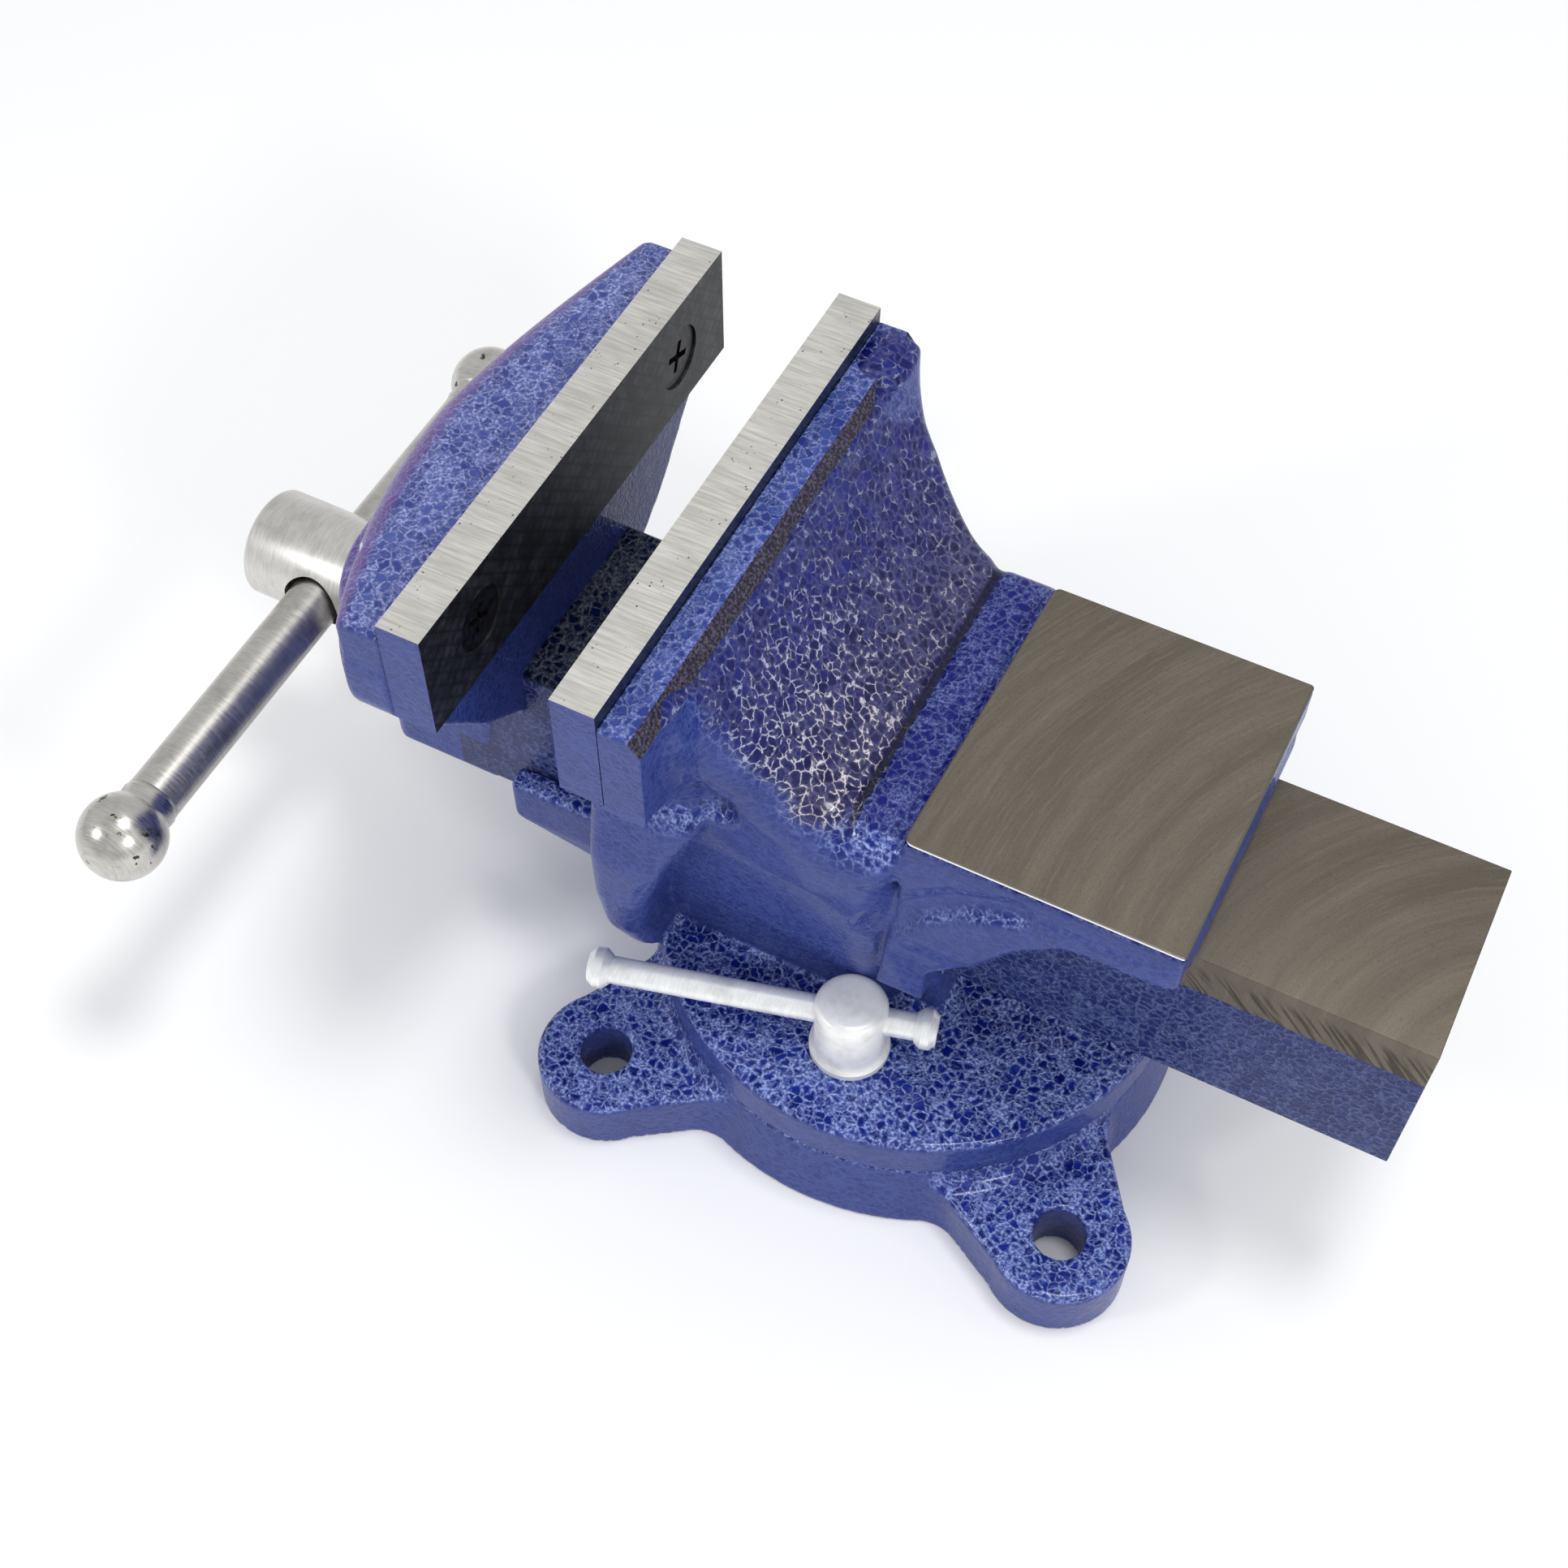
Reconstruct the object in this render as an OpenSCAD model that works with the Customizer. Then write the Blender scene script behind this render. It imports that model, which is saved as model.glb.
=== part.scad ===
// Bench vise on a swivel base, with an anvil, a sliding jaw and two swivel clamps.
// X runs along the main screw towards the anvil, Z is up, and the XZ plane is the middle.
// The origin is on the swivel axis, at the underside of the base.

/* [Jaws] */
// Width of the jaws and of the plates on them
jaw_w = 125; // [100:1:160]
// Height of a jaw plate
plate_h = 29; // [25:0.5:36]
// Thickness of a jaw plate
plate_t = 10; // [8:0.5:12]
// Height of the plates above the castings that hold them
plate_proud = 4; // [2:0.5:6]
// Depth of the jaws, from the plate tops down to the slide
throat = 55; // [52:0.5:66]
// Opening between the plates as drawn
opening = 29; // [10:0.5:60]
// Widest opening between the plates
opening_max = 125; // [100:1:125]
// Distance from the swivel axis to the fixed plate's face
jaw_reach = 57; // [52:0.5:64]
// Thickness of the fixed jaw behind its plate, at the top
head_t = 9.5; // [8:0.5:14]
// Thickness of the moving jaw behind its plate, at the ends
jaw_end_t = 10; // [8:0.5:14]
// Bulge of the moving jaw's front, at its middle
jaw_bulge = 17; // [12:0.5:24]

/* [Plate screws] */
// Distance between the two screws of a plate
plate_screw_gap = 84; // [60:1:92]
// Thread diameter of a plate screw
plate_screw_d = 8; // [6:0.5:8]
// Head diameter of a plate screw
plate_screw_head_d = 15; // [12:0.5:16]
// Length of a plate screw
plate_screw_l = 17; // [15:0.5:18]

/* [Slide] */
// Width of the slide
slide_w = 50; // [44:0.5:60]
// Height of the slide
slide_h = 48; // [44:0.5:58]
// Thickness of the slide's walls
slide_wall = 9; // [7:0.5:10]
// Height of the slide's underside above the bench
slide_z = 53; // [50:0.5:62]
// Distance from the swivel axis to the slide's rear end, as drawn
slide_rear = 120; // [115:1:140]
// Clearance round the slide in the body
slide_gap = 0.3; // [0.2:0.05:0.5]

/* [Anvil] */
// Length of the anvil's top
anvil_l = 61; // [50:0.5:75]
// Width of the anvil's top
anvil_w = 76; // [70:0.5:95]
// Height of the anvil's top above the slide
anvil_rise = 18; // [15:0.5:24]
// Distance from the swivel axis to the front of the anvil's top
anvil_x = 7.5; // [5:0.5:14]
// Step from the casting up to the anvil's top
anvil_step = 4; // [2:0.5:6]

/* [Base] */
// Radius of the base ring at its top
base_r = 64.5; // [60:0.5:78]
// Extra radius of the base ring at the bench
base_flare = 2.5; // [0:0.5:5]
// Height of the base
base_h = 20; // [19:0.5:24]
// Height of the lugs
lug_h = 16; // [12:0.5:18]
// Radius of the lugs' round ends
lug_r = 17; // [15:0.5:22]
// Diameter of the circle that the bench bolts stand on
bolt_circle = 164; // [156:1:200]
// Diameter of the bench bolt holes
bolt_d = 12.5; // [10:0.5:14]
// Turn of the base from the slide's line, as drawn
base_turn = 3; // [0:1:40]

/* [Swivel] */
// Radius of the disc under the body
disc_r = 63.5; // [58:0.5:75]
// Thickness of the disc
disc_h = 12; // [10:0.5:14]
// Diameter of the spigot that the body turns on
spigot_d = 40; // [36:0.5:42]
// Gap between the disc and the base
swivel_gap = 0.2; // [0.1:0.05:0.5]
// Distance from the swivel axis to the clamp bolts
clamp_r = 41; // [40:0.5:46]

/* [Main screw] */
// Diameter of the screw
screw_d = 20; // [16:0.5:22]
// Height of the screw's axis above the slide's underside
screw_rise = 21; // [19:0.5:24]
// Length of the screw past the nut at the widest opening
screw_spare = 2.5; // [1:0.5:6]
// Diameter of the screw's head
head_d = 27; // [24:0.5:32]
// Length of the screw's head
head_l = 32; // [28:0.5:40]
// Radius of the boss that the screw turns in
boss_r = 20; // [18:0.5:22]
// Length of the nut on the main screw
nut_l = 40; // [30:1:45]
// Distance from the swivel axis to the nut's middle
nut_x = -5; // [-8:0.5:2]

/* [Handle] */
// Diameter of the handle bar
bar_d = 13; // [11:0.5:14]
// Distance between the centres of the handle's balls
handle_l = 159; // [140:1:220]
// Shift of the handle to the near side, as drawn
handle_shift = 9.5; // [0:0.5:30]
// Diameter of the balls
ball_d = 20.5; // [18.5:0.5:26]
// Distance from the front of the screw's head to the bar
bar_inset = 20.5; // [14:0.5:22]

/* [Clamps] */
// Diameter of the clamp bolts
clamp_d = 12; // [10:0.5:12]
// Diameter of a clamp nut
clamp_nut_d = 17; // [16:0.5:19]
// Height of a clamp nut
clamp_nut_h = 18; // [16:0.5:22]
// Diameter of the washer under a clamp nut
clamp_washer_d = 19; // [18:0.5:21]
// Thickness of the washer under a clamp nut
clamp_washer_t = 1.7; // [1:0.1:2.5]
// Diameter of a clamp's tommy bar
tommy_d = 6.5; // [5:0.5:7]
// Length of the long arm of a tommy bar, from the nut's axis
tommy_long = 59; // [45:1:70]
// Length of the short arm of a tommy bar, from the nut's axis
tommy_short = 17.5; // [15:0.5:20]
// Turn of the tommy bars from the slide's line, as drawn
tommy_turn = 15; // [12:1:18]
// Diameter of the knobs on a tommy bar
knob_d = 9.6; // [8:0.2:10]
// Length of the knobs on a tommy bar
knob_l = 5; // [4:0.5:6]

/* [Hidden] */
$fn = 96;

// Fits
run_gap = 0.05;         // round parts that turn or slide in each other, on the radius
bar_gap = 0.1;          // tommy bars that slide across a nut
bar_play = 1.2;         // handle bar in its hole, on the radius
loose_gap = 0.5;        // bolts through plain holes
close_gap = 0.3;        // plates at the closed end of the slide
eps = 0.01;

// Heights, from the bench up
disc_z = base_h + swivel_gap;
disc_top = disc_z + disc_h;
slide_top = slide_z + slide_h;
jaw_top = slide_top + throat;
plate_z = jaw_top - plate_h;
ledge_z = jaw_top - plate_proud;
anvil_top = slide_top + anvil_rise;
valley_z = anvil_top - anvil_step;
screw_z = slide_z + screw_rise;
floor_z = slide_z - slide_gap;

// Stations along X
fixed_face = -jaw_reach;
fixed_seat = fixed_face + plate_t;
head_rear = fixed_seat + head_t;
move_face = fixed_face - opening;
move_seat = move_face - plate_t;
collar_out = 5;         // how far the body's collar stands in front of the fixed jaw
jaw_end = move_seat - jaw_end_t;
boss_run = 24;          // how far the boss stands in front of the bulge
boss_face = jaw_end - jaw_bulge - boss_run;
washer_t = 1.5;
head_face = boss_face - washer_t;
bar_x = head_face - head_l + bar_inset;
anvil_rear = anvil_x + anvil_l;

// Half widths across Y
jaw_hw = jaw_w / 2;
neck_hw = jaw_hw - 12;
waist_hw = anvil_w / 2 + 2;
foot_hw = clamp_r - 12.5;
collar_hw = slide_w / 2 + 20.5;
trough_hw = slide_w / 2 + 6;

// Base: a ring with a T-slot all round for the clamp bolts
slot_hw = clamp_d / 2 + 1;
tee_hw = clamp_d / 2 + 5.5;
tee_z = 5;
tee_top = 13.5;
tee_head_h = 7.5;
lug_angles = [for (k = [0:3]) 45 + 90 * k + base_turn];

module lug(angle) {
    rotate(angle) {
        translate([bolt_circle / 2, 0, 0]) cylinder(r = lug_r, h = lug_h);
        linear_extrude(lug_h) polygon([
            [base_r - 8, -lug_r - 5], [bolt_circle / 2, -lug_r],
            [bolt_circle / 2, lug_r], [base_r - 8, lug_r + 5]]);
    }
}

module swivel_base() {
    color("royalblue") difference() {
        union() {
            rotate_extrude() polygon([
                [spigot_d / 2 + run_gap, 0], [base_r + base_flare, 0],
                [base_r, base_h - 1], [base_r - 1, base_h], [spigot_d / 2 + run_gap, base_h]]);
            for (a = lug_angles) lug(a);
        }
        rotate_extrude() polygon([
            [clamp_r - tee_hw, tee_z], [clamp_r + tee_hw, tee_z], [clamp_r + tee_hw, tee_top],
            [clamp_r + slot_hw, tee_top], [clamp_r + slot_hw, base_h + 1],
            [clamp_r - slot_hw, base_h + 1], [clamp_r - slot_hw, tee_top], [clamp_r - tee_hw, tee_top]]);
        // Round mouth where the clamp bolts' heads go in
        rotate(base_turn) translate([clamp_r, 0, tee_z]) cylinder(r = tee_hw, h = base_h);
        for (a = lug_angles) rotate(a) translate([bolt_circle / 2, 0, -1])
            cylinder(d = bolt_d, h = lug_h + 2);
    }
}

// Points on the circular arc from p to q that stands off their chord by sag
function arc(p, q, sag, n = 12) =
    let (c = (q - p) / 2, l = norm(c), r = (l * l + sag * sag) / (2 * sag), side = [-c[1], c[0]] / l,
         m = p + c + side * (sag - r), a = atan2(p[1] - m[1], p[0] - m[0]),
         b = atan2(q[1] - m[1], q[0] - m[0]), turn = (b - a + 540) % 360 - 180)
    [for (i = [0:n]) m + abs(r) * [cos(a + turn * i / n), sin(a + turn * i / n)]];

// A profile in X and Z, made as thick as w on both sides of the middle
module across(w, points) {
    rotate([90, 0, 0]) linear_extrude(2 * w, center = true) polygon(points);
}

// A profile in Y and Z, from x0 to x1. Only the near half's points are given, and both are made
module along(x0, x1, half) {
    n = len(half);
    points = concat(half, [for (i = [n - 1:-1:0]) [-half[i][0], half[i][1]]]);
    translate([x0, 0, 0]) rotate([90, 0, 90]) linear_extrude(x1 - x0) polygon(points);
}

// Upper body: the neck that falls from the fixed jaw to the anvil in a hollow ramp
ramp_end = anvil_x - 11.5;
ramp_top = [head_rear - 1, ledge_z - 1];
ramp_foot = [ramp_end, valley_z];
ramp_sag = 4;
ramp_half = norm(ramp_foot - ramp_top) / 2;
ramp_r = (ramp_half * ramp_half + ramp_sag * ramp_sag) / (2 * ramp_sag);
ramp_up = [ramp_top[1] - ramp_foot[1], ramp_foot[0] - ramp_top[0]] / (2 * ramp_half);
ramp_mid = (ramp_top + ramp_foot) / 2 + ramp_up * (ramp_r - ramp_sag);
ramp_edge = 3;          // how far the ramp's sides fall away
module ramp_hollow() {
    side = arc([ramp_r, waist_hw - 4], [ramp_r + ramp_edge, neck_hw + 5], -3, 8);
    far = [for (i = [len(side) - 1:-1:0]) [side[i][0], -side[i][1]]];
    intersection() {
        translate([ramp_mid[0], 0, ramp_mid[1]]) rotate([90, 0, 0]) rotate_extrude($fn = 200)
            polygon(concat([[0, -jaw_w]], [[ramp_r + ramp_edge, -jaw_w]], far, side,
                [[ramp_r + ramp_edge, jaw_w], [0, jaw_w]]));
        translate([head_rear - 1, -jaw_w, valley_z - ramp_edge])
            cube([ramp_end - head_rear + 1, 2 * jaw_w, 2 * throat]);
    }
}

module neck() {
    difference() {
        intersection() {
            across(jaw_w, [[fixed_face, slide_z], [fixed_face, plate_z - close_gap],
                [head_rear - 1, plate_z], [head_rear - 1, ledge_z - 1], [ramp_end, ledge_z - 1],
                [ramp_end, slide_z]]);
            along(fixed_face - 1, ramp_end + 1, concat(
                [[jaw_hw - 1, ledge_z], [neck_hw + 6, plate_z + 12]],
                arc([neck_hw + 3, plate_z + 5], [waist_hw + 1, valley_z + 2], 1.5, 4),
                [[waist_hw, slide_top + 10], [foot_hw + 3, slide_z]]));
        }
        ramp_hollow();
    }
    along(ramp_end - eps, anvil_x + 1, [[waist_hw - 7, valley_z], [waist_hw - 2, valley_z - 3],
        [waist_hw, valley_z - 8], [foot_hw + 3, slide_z]]);
}

module fixed_head() {
    along(fixed_seat, head_rear, [[jaw_hw, ledge_z], [jaw_hw, plate_z - 1],
        [neck_hw - 2, plate_z - 14], [waist_hw, slide_top], [waist_hw, slide_top - 10]]);
    along(fixed_face, fixed_seat + eps, [[jaw_hw, plate_z - close_gap], [jaw_hw, plate_z - 1],
        [neck_hw - 2, plate_z - 14], [waist_hw, slide_top], [waist_hw, slide_top - 10]]);
}

// Lower body: a belly on the disc, open at the rear under the anvil
pillar_rear = anvil_x + 7.5;
module belly() {
    along(fixed_face + 3, pillar_rear, [[waist_hw, valley_z - 8], [waist_hw, slide_top - 6],
        [foot_hw + 3, disc_top + 24], [foot_hw, disc_top - 1]]);
}

module anvil_block() {
    wall_z = slide_top + 4;
    across(anvil_w / 2, [[anvil_x, slide_top - 8], [anvil_x, anvil_top], [anvil_rear, anvil_top],
        [anvil_rear, wall_z], [anvil_x + 36, wall_z], [anvil_x + 18, slide_top - 19],
        [pillar_rear, slide_top - 26], [anvil_x, slide_top - 26]]);
    // The floor of the block comes in to the slide
    across(slide_w / 2 + 6, [[anvil_x, wall_z + 1], [anvil_rear, wall_z + 1],
        [anvil_rear, slide_top - 3], [anvil_x, slide_top - 3]]);
}

collar_x = fixed_face - collar_out;
collar_t = 13;
module collar() {
    mid_z = (slide_top + disc_top) / 2;
    along(collar_x, collar_x + collar_t, concat(
        [[collar_hw - 6, slide_top + 8], [collar_hw - 2, slide_top]],
        [for (p = arc([collar_hw, slide_top - 12], [foot_hw + 8, disc_top - 1], -4)) p]));
    // Gusset between the collar and the head
    along(fixed_face, fixed_seat, [[collar_hw - 3, mid_z + 30], [collar_hw, mid_z]]);
}

trough_l = 38;
trough_rise = 11;
module trough() {
    intersection() {
        along(fixed_face - trough_l, collar_x + 1, [[trough_hw, slide_z + trough_rise],
            [trough_hw, slide_z - 2], [trough_hw - 5, disc_top]]);
        across(trough_hw, [[fixed_face - trough_l, slide_z + trough_rise],
            [collar_x + 1, slide_z + trough_rise], [collar_x + 1, slide_z - 14],
            [fixed_face - trough_l, slide_z - 4]]);
    }
}

nut_w = slide_w - 2 * slide_wall - 4;
nut_seat = floor_z - 10;
bolt_clear = 10 + 2 * loose_gap;

module fixed_body() {
    color("royalblue") difference() {
        union() {
            translate([0, 0, disc_z]) cylinder(r = disc_r, h = disc_h);
            translate([0, 0, tee_z]) cylinder(d = spigot_d, h = disc_z - tee_z + 1);
            neck();
            fixed_head();
            belly();
            anvil_block();
            collar();
            trough();
        }
        // Way for the slide, right through
        translate([fixed_face - trough_l - 1, -slide_w / 2 - slide_gap, floor_z])
            cube([trough_l + jaw_reach + anvil_rear + 2, slide_w + 2 * slide_gap,
                slide_h + 2 * slide_gap]);
        // Seat of the nut and the hole for its bolt
        translate([nut_x - nut_l / 2, -nut_w / 2, nut_seat]) cube([nut_l, nut_w, slide_z]);
        translate([nut_x, 0, 0]) cylinder(d = bolt_clear, h = slide_z);
        translate([nut_x, 0, 0]) cylinder(d = nut_washer_d + 2 * loose_gap, h = disc_z);
        for (s = [-1, 1]) translate([0, s * clamp_r, base_h])
            cylinder(d = clamp_d + 2 * loose_gap, h = disc_h + 1);
        plate_threads(fixed_seat, 1);
    }
}

// Jaw plates: flat bars, each held by two countersunk screws
module plate_threads(seat, way) {
    for (s = [-1, 1]) translate([seat, s * plate_screw_gap / 2, plate_z + plate_h / 2])
        rotate([0, way * 90, 0]) translate([0, 0, -1])
            cylinder(d = plate_screw_d, h = plate_screw_l - plate_t + 2.5);
}

head_cone = (plate_screw_head_d - plate_screw_d) / 2;
sunk = 0.6;
module jaw_plate(face, way) {
    low = min(face, face + way * plate_t);
    difference() {
        translate([low, -jaw_hw, plate_z]) cube([plate_t, jaw_w, plate_h]);
        for (s = [-1, 1]) translate([face, s * plate_screw_gap / 2, plate_z + plate_h / 2])
            rotate([0, way * 90, 0]) {
                translate([0, 0, -1]) cylinder(d = plate_screw_d + 2 * bar_gap, h = plate_t + 2);
                translate([0, 0, sunk - eps]) cylinder(d1 = plate_screw_head_d + 2 * bar_gap,
                    d2 = plate_screw_d + 2 * bar_gap, h = head_cone);
                translate([0, 0, -1]) cylinder(d = plate_screw_head_d + 2 * bar_gap, h = sunk + 1);
            }
    }
}

module plate_screws(face, way) {
    for (s = [-1, 1]) translate([face, s * plate_screw_gap / 2, plate_z + plate_h / 2])
        rotate([0, way * 90, 0]) translate([0, 0, sunk]) difference() {
            union() {
                cylinder(d1 = plate_screw_head_d, d2 = plate_screw_d, h = head_cone);
                cylinder(d = plate_screw_d, h = plate_screw_l);
            }
            // Cross recess
            for (a = [0, 90]) rotate(a + 20) translate([-4, -0.8, -1]) cube([8, 1.6, 3.5]);
        }
}

module fixed_jaw_plate() { color("silver") jaw_plate(fixed_face, 1); }
module fixed_jaw_screws() { color("dimgray") plate_screws(fixed_face, 1); }
module moving_jaw_plate() { color("silver") jaw_plate(move_face, -1); }
module moving_jaw_screws() { color("dimgray") plate_screws(move_face, -1); }

// Nut of the main screw, bolted to the body's floor from below
nut_washer_d = 20;
nut_washer_t = 2;
nut_bolt_seat = disc_z;
module screw_nut() {
    top = screw_z + screw_d / 2 + 5;
    color("dimgray") difference() {
        translate([nut_x - nut_l / 2, -nut_w / 2 + bar_gap, nut_seat])
            cube([nut_l, nut_w - 2 * bar_gap, top - nut_seat]);
        translate([nut_x - nut_l, 0, screw_z]) rotate([0, 90, 0])
            cylinder(d = screw_d + 2 * run_gap, h = 2 * nut_l);
        translate([nut_x, 0, nut_seat - 1]) cylinder(d = 10, h = screw_z - screw_d / 2 - nut_seat - 3);
    }
}

module nut_washer() {
    color("silver") translate([nut_x, 0, nut_bolt_seat - nut_washer_t]) difference() {
        cylinder(d = nut_washer_d, h = nut_washer_t);
        translate([0, 0, -1]) cylinder(d = 10 + 2 * loose_gap, h = nut_washer_t + 2);
    }
}

module nut_bolt() {
    under = nut_bolt_seat - nut_washer_t;
    color("silver") translate([nut_x, 0, 0]) {
        translate([0, 0, under - 6.4]) cylinder(d = 17 / cos(30), h = 6.4, $fn = 6);
        translate([0, 0, under]) cylinder(d = 10, h = screw_z - screw_d / 2 - 6 - under);
    }
}

// Swivel clamps: a T-bolt up through the disc, a washer, a round nut and its tommy bar
clamp_nut_z = disc_top + clamp_washer_t + 0.1;
tommy_z = clamp_nut_z + clamp_nut_h - tommy_d / 2 - 2.4;
clamp_bore_h = clamp_nut_h - tommy_d - 3.4;
module clamp_bolt(side) {
    head_w = 2 * tee_hw - 2;
    color("dimgray") translate([0, side * clamp_r, 0]) {
        intersection() {
            translate([-head_w / 2, -head_w / 2, tee_z + 0.3]) cube([head_w, head_w, tee_head_h]);
            cylinder(r = tee_hw - 0.6, h = base_h);
        }
        translate([0, 0, tee_z + 1]) cylinder(d = clamp_d, h = clamp_nut_z + clamp_bore_h - 1.5 - tee_z);
    }
}
module clamp_bolt_near() { clamp_bolt(-1); }
module clamp_bolt_far() { clamp_bolt(1); }

module clamp_washer(side) {
    color("silver") translate([0, side * clamp_r, disc_top]) difference() {
        cylinder(d = clamp_washer_d, h = clamp_washer_t);
        translate([0, 0, -1]) cylinder(d = clamp_d + 2 * bar_gap, h = clamp_washer_t + 2);
    }
}
module clamp_washer_near() { clamp_washer(-1); }
module clamp_washer_far() { clamp_washer(1); }

// The bars lie along the slide, with their long arms to the front and out
module tommy_place(side) {
    translate([0, side * clamp_r, tommy_z]) rotate(-side * tommy_turn) children();
}

module clamp_nut(side) {
    color("lightgray") difference() {
        translate([0, side * clamp_r, clamp_nut_z]) difference() {
            union() {
                cylinder(d = clamp_nut_d, h = clamp_nut_h - 1);
                translate([0, 0, clamp_nut_h - 1]) cylinder(d1 = clamp_nut_d, d2 = clamp_nut_d - 2, h = 1);
            }
            translate([0, 0, -1]) cylinder(d = clamp_d + 2 * run_gap, h = clamp_bore_h + 1);
        }
        tommy_place(side) rotate([0, 90, 0])
            cylinder(d = tommy_d + 2 * bar_gap, h = 2 * clamp_nut_d, center = true);
    }
}
module clamp_nut_near() { clamp_nut(-1); }
module clamp_nut_far() { clamp_nut(1); }

module knob(x, way) {
    translate([x, 0, 0]) rotate([0, way * 90, 0]) {
        cylinder(d1 = knob_d - 2.4, d2 = knob_d, h = 1.5);
        translate([0, 0, 1.5]) cylinder(d = knob_d, h = knob_l - 3);
        translate([0, 0, knob_l - 1.5]) cylinder(d1 = knob_d, d2 = knob_d - 2.4, h = 1.5);
    }
}

// The long arm ends in an upset knob of the same piece, the short arm in a pressed one
module tommy_bar(side) {
    color("lightgray") tommy_place(side) {
        translate([-tommy_long, 0, 0]) rotate([0, 90, 0])
            cylinder(d = tommy_d, h = tommy_long + tommy_short - 1);
        knob(-tommy_long + knob_l / 2, -1);
    }
}
module tommy_bar_near() { tommy_bar(-1); }
module tommy_bar_far() { tommy_bar(1); }

module tommy_knob(side) {
    color("lightgray") tommy_place(side) difference() {
        knob(tommy_short - knob_l / 2, 1);
        translate([tommy_short - knob_l, 0, 0]) rotate([0, 90, 0])
            cylinder(d = tommy_d, h = knob_l - 1);
    }
}
module tommy_knob_near() { tommy_knob(-1); }
module tommy_knob_far() { tommy_knob(1); }

// Moving jaw: the jaw, its bulged front, the boss of the screw and the slide are one casting
module jaw_plan(grow, rear) {
    r = ((jaw_hw) * (jaw_hw) + jaw_bulge * jaw_bulge) / (2 * jaw_bulge);
    intersection() {
        translate([jaw_end - jaw_bulge + r - grow, 0]) circle(r = r, $fn = 160);
        translate([jaw_end - jaw_bulge - grow, -jaw_hw]) square([rear - jaw_end + jaw_bulge + grow, jaw_w]);
    }
}

module moving_head() {
    // The bulge rounds over at the top
    hull() {
        translate([0, 0, ledge_z - eps]) linear_extrude(eps) jaw_plan(-7, move_seat);
        translate([0, 0, ledge_z - 3]) linear_extrude(1) jaw_plan(-2.5, move_seat);
        translate([0, 0, plate_z]) linear_extrude(ledge_z - 8 - plate_z) jaw_plan(0, move_seat);
    }
    hull() {
        translate([0, 0, plate_z - 1]) linear_extrude(4) jaw_plan(0, move_seat);
        translate([jaw_end - jaw_bulge, -trough_hw - 8, slide_top - 2])
            cube([jaw_bulge + jaw_end_t, 2 * trough_hw + 16, 2]);
        translate([boss_face + 10, 0, screw_z]) rotate([0, 90, 0]) cylinder(r = boss_r, h = 4);
    }
    translate([move_seat - 10, -trough_hw, slide_top - 10])
        cube([10, 2 * trough_hw, plate_z - slide_top + 10]);
}

module moving_boss() {
    hull() {
        translate([boss_face + 6, 0, screw_z]) rotate([0, 90, 0]) cylinder(r = boss_r, h = 8);
        translate([jaw_end - 12, -slide_w / 2, slide_z]) cube([8, slide_w, slide_h]);
    }
    translate([boss_face, 0, screw_z]) rotate([0, 90, 0]) cylinder(r = boss_r, h = 20);
}

slide_front = jaw_end - 8;
bay_front = boss_face + 22;
module moving_jaw() {
    chan_hw = slide_w / 2 - slide_wall;
    chan_top = screw_z + screw_d / 2 + 8;
    color("royalblue") difference() {
        union() {
            moving_head();
            moving_boss();
            translate([slide_front, -slide_w / 2, slide_z])
                cube([slide_rear - slide_front, slide_w, slide_h]);
            // Casting under the plate, down to the slide. It stops short of the collar
            translate([move_seat - 1, -trough_hw, slide_top - 4])
                cube([plate_t - collar_out + 1, 2 * trough_hw, plate_z - close_gap - slide_top + 4]);
        }
        // Bay that the screw and the nut run in, open below
        translate([bay_front, -chan_hw, slide_z - 10])
            cube([slide_rear - bay_front + 1, 2 * chan_hw, chan_top - slide_z + 10]);
        translate([boss_face - 1, 0, screw_z]) rotate([0, 90, 0])
            cylinder(d = screw_d + 2 * run_gap, h = bay_front - boss_face + 2);
        plate_threads(move_seat, -1);
    }
}

// Main screw with its head, and what holds it in the jaw
shaft_end = nut_x + nut_l / 2 + opening_max - opening + screw_spare;
screw_l = shaft_end - head_face;
pin_d = 4;
pin_x = bay_front + 24;
module main_screw() {
    color("gainsboro") difference() {
        union() {
            translate([head_face, 0, screw_z]) rotate([0, 90, 0]) cylinder(d = screw_d, h = screw_l - 2);
            translate([shaft_end - 2, 0, screw_z]) rotate([0, 90, 0])
                cylinder(d1 = screw_d, d2 = screw_d - 4, h = 2);
            translate([head_face - head_l + 1.5, 0, screw_z]) rotate([0, 90, 0])
                cylinder(d = head_d, h = head_l - 1.5);
            translate([head_face - head_l, 0, screw_z]) rotate([0, 90, 0])
                cylinder(d1 = head_d - 3, d2 = head_d, h = 1.5);
        }
        translate([bar_x, 0, screw_z]) rotate([90, 0, 0])
            cylinder(d = bar_d + 2 * bar_play, h = 2 * head_d, center = true);
        translate([pin_x, 0, screw_z]) cylinder(d = pin_d, h = 2 * screw_d, center = true);
    }
}

// A ring on the screw, from x on for t
module ring(x, t, outer) {
    translate([x, 0, screw_z]) rotate([0, 90, 0]) difference() {
        cylinder(d = outer, h = t);
        translate([0, 0, -1]) cylinder(d = screw_d + 2 * run_gap, h = t + 2);
    }
}

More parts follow.
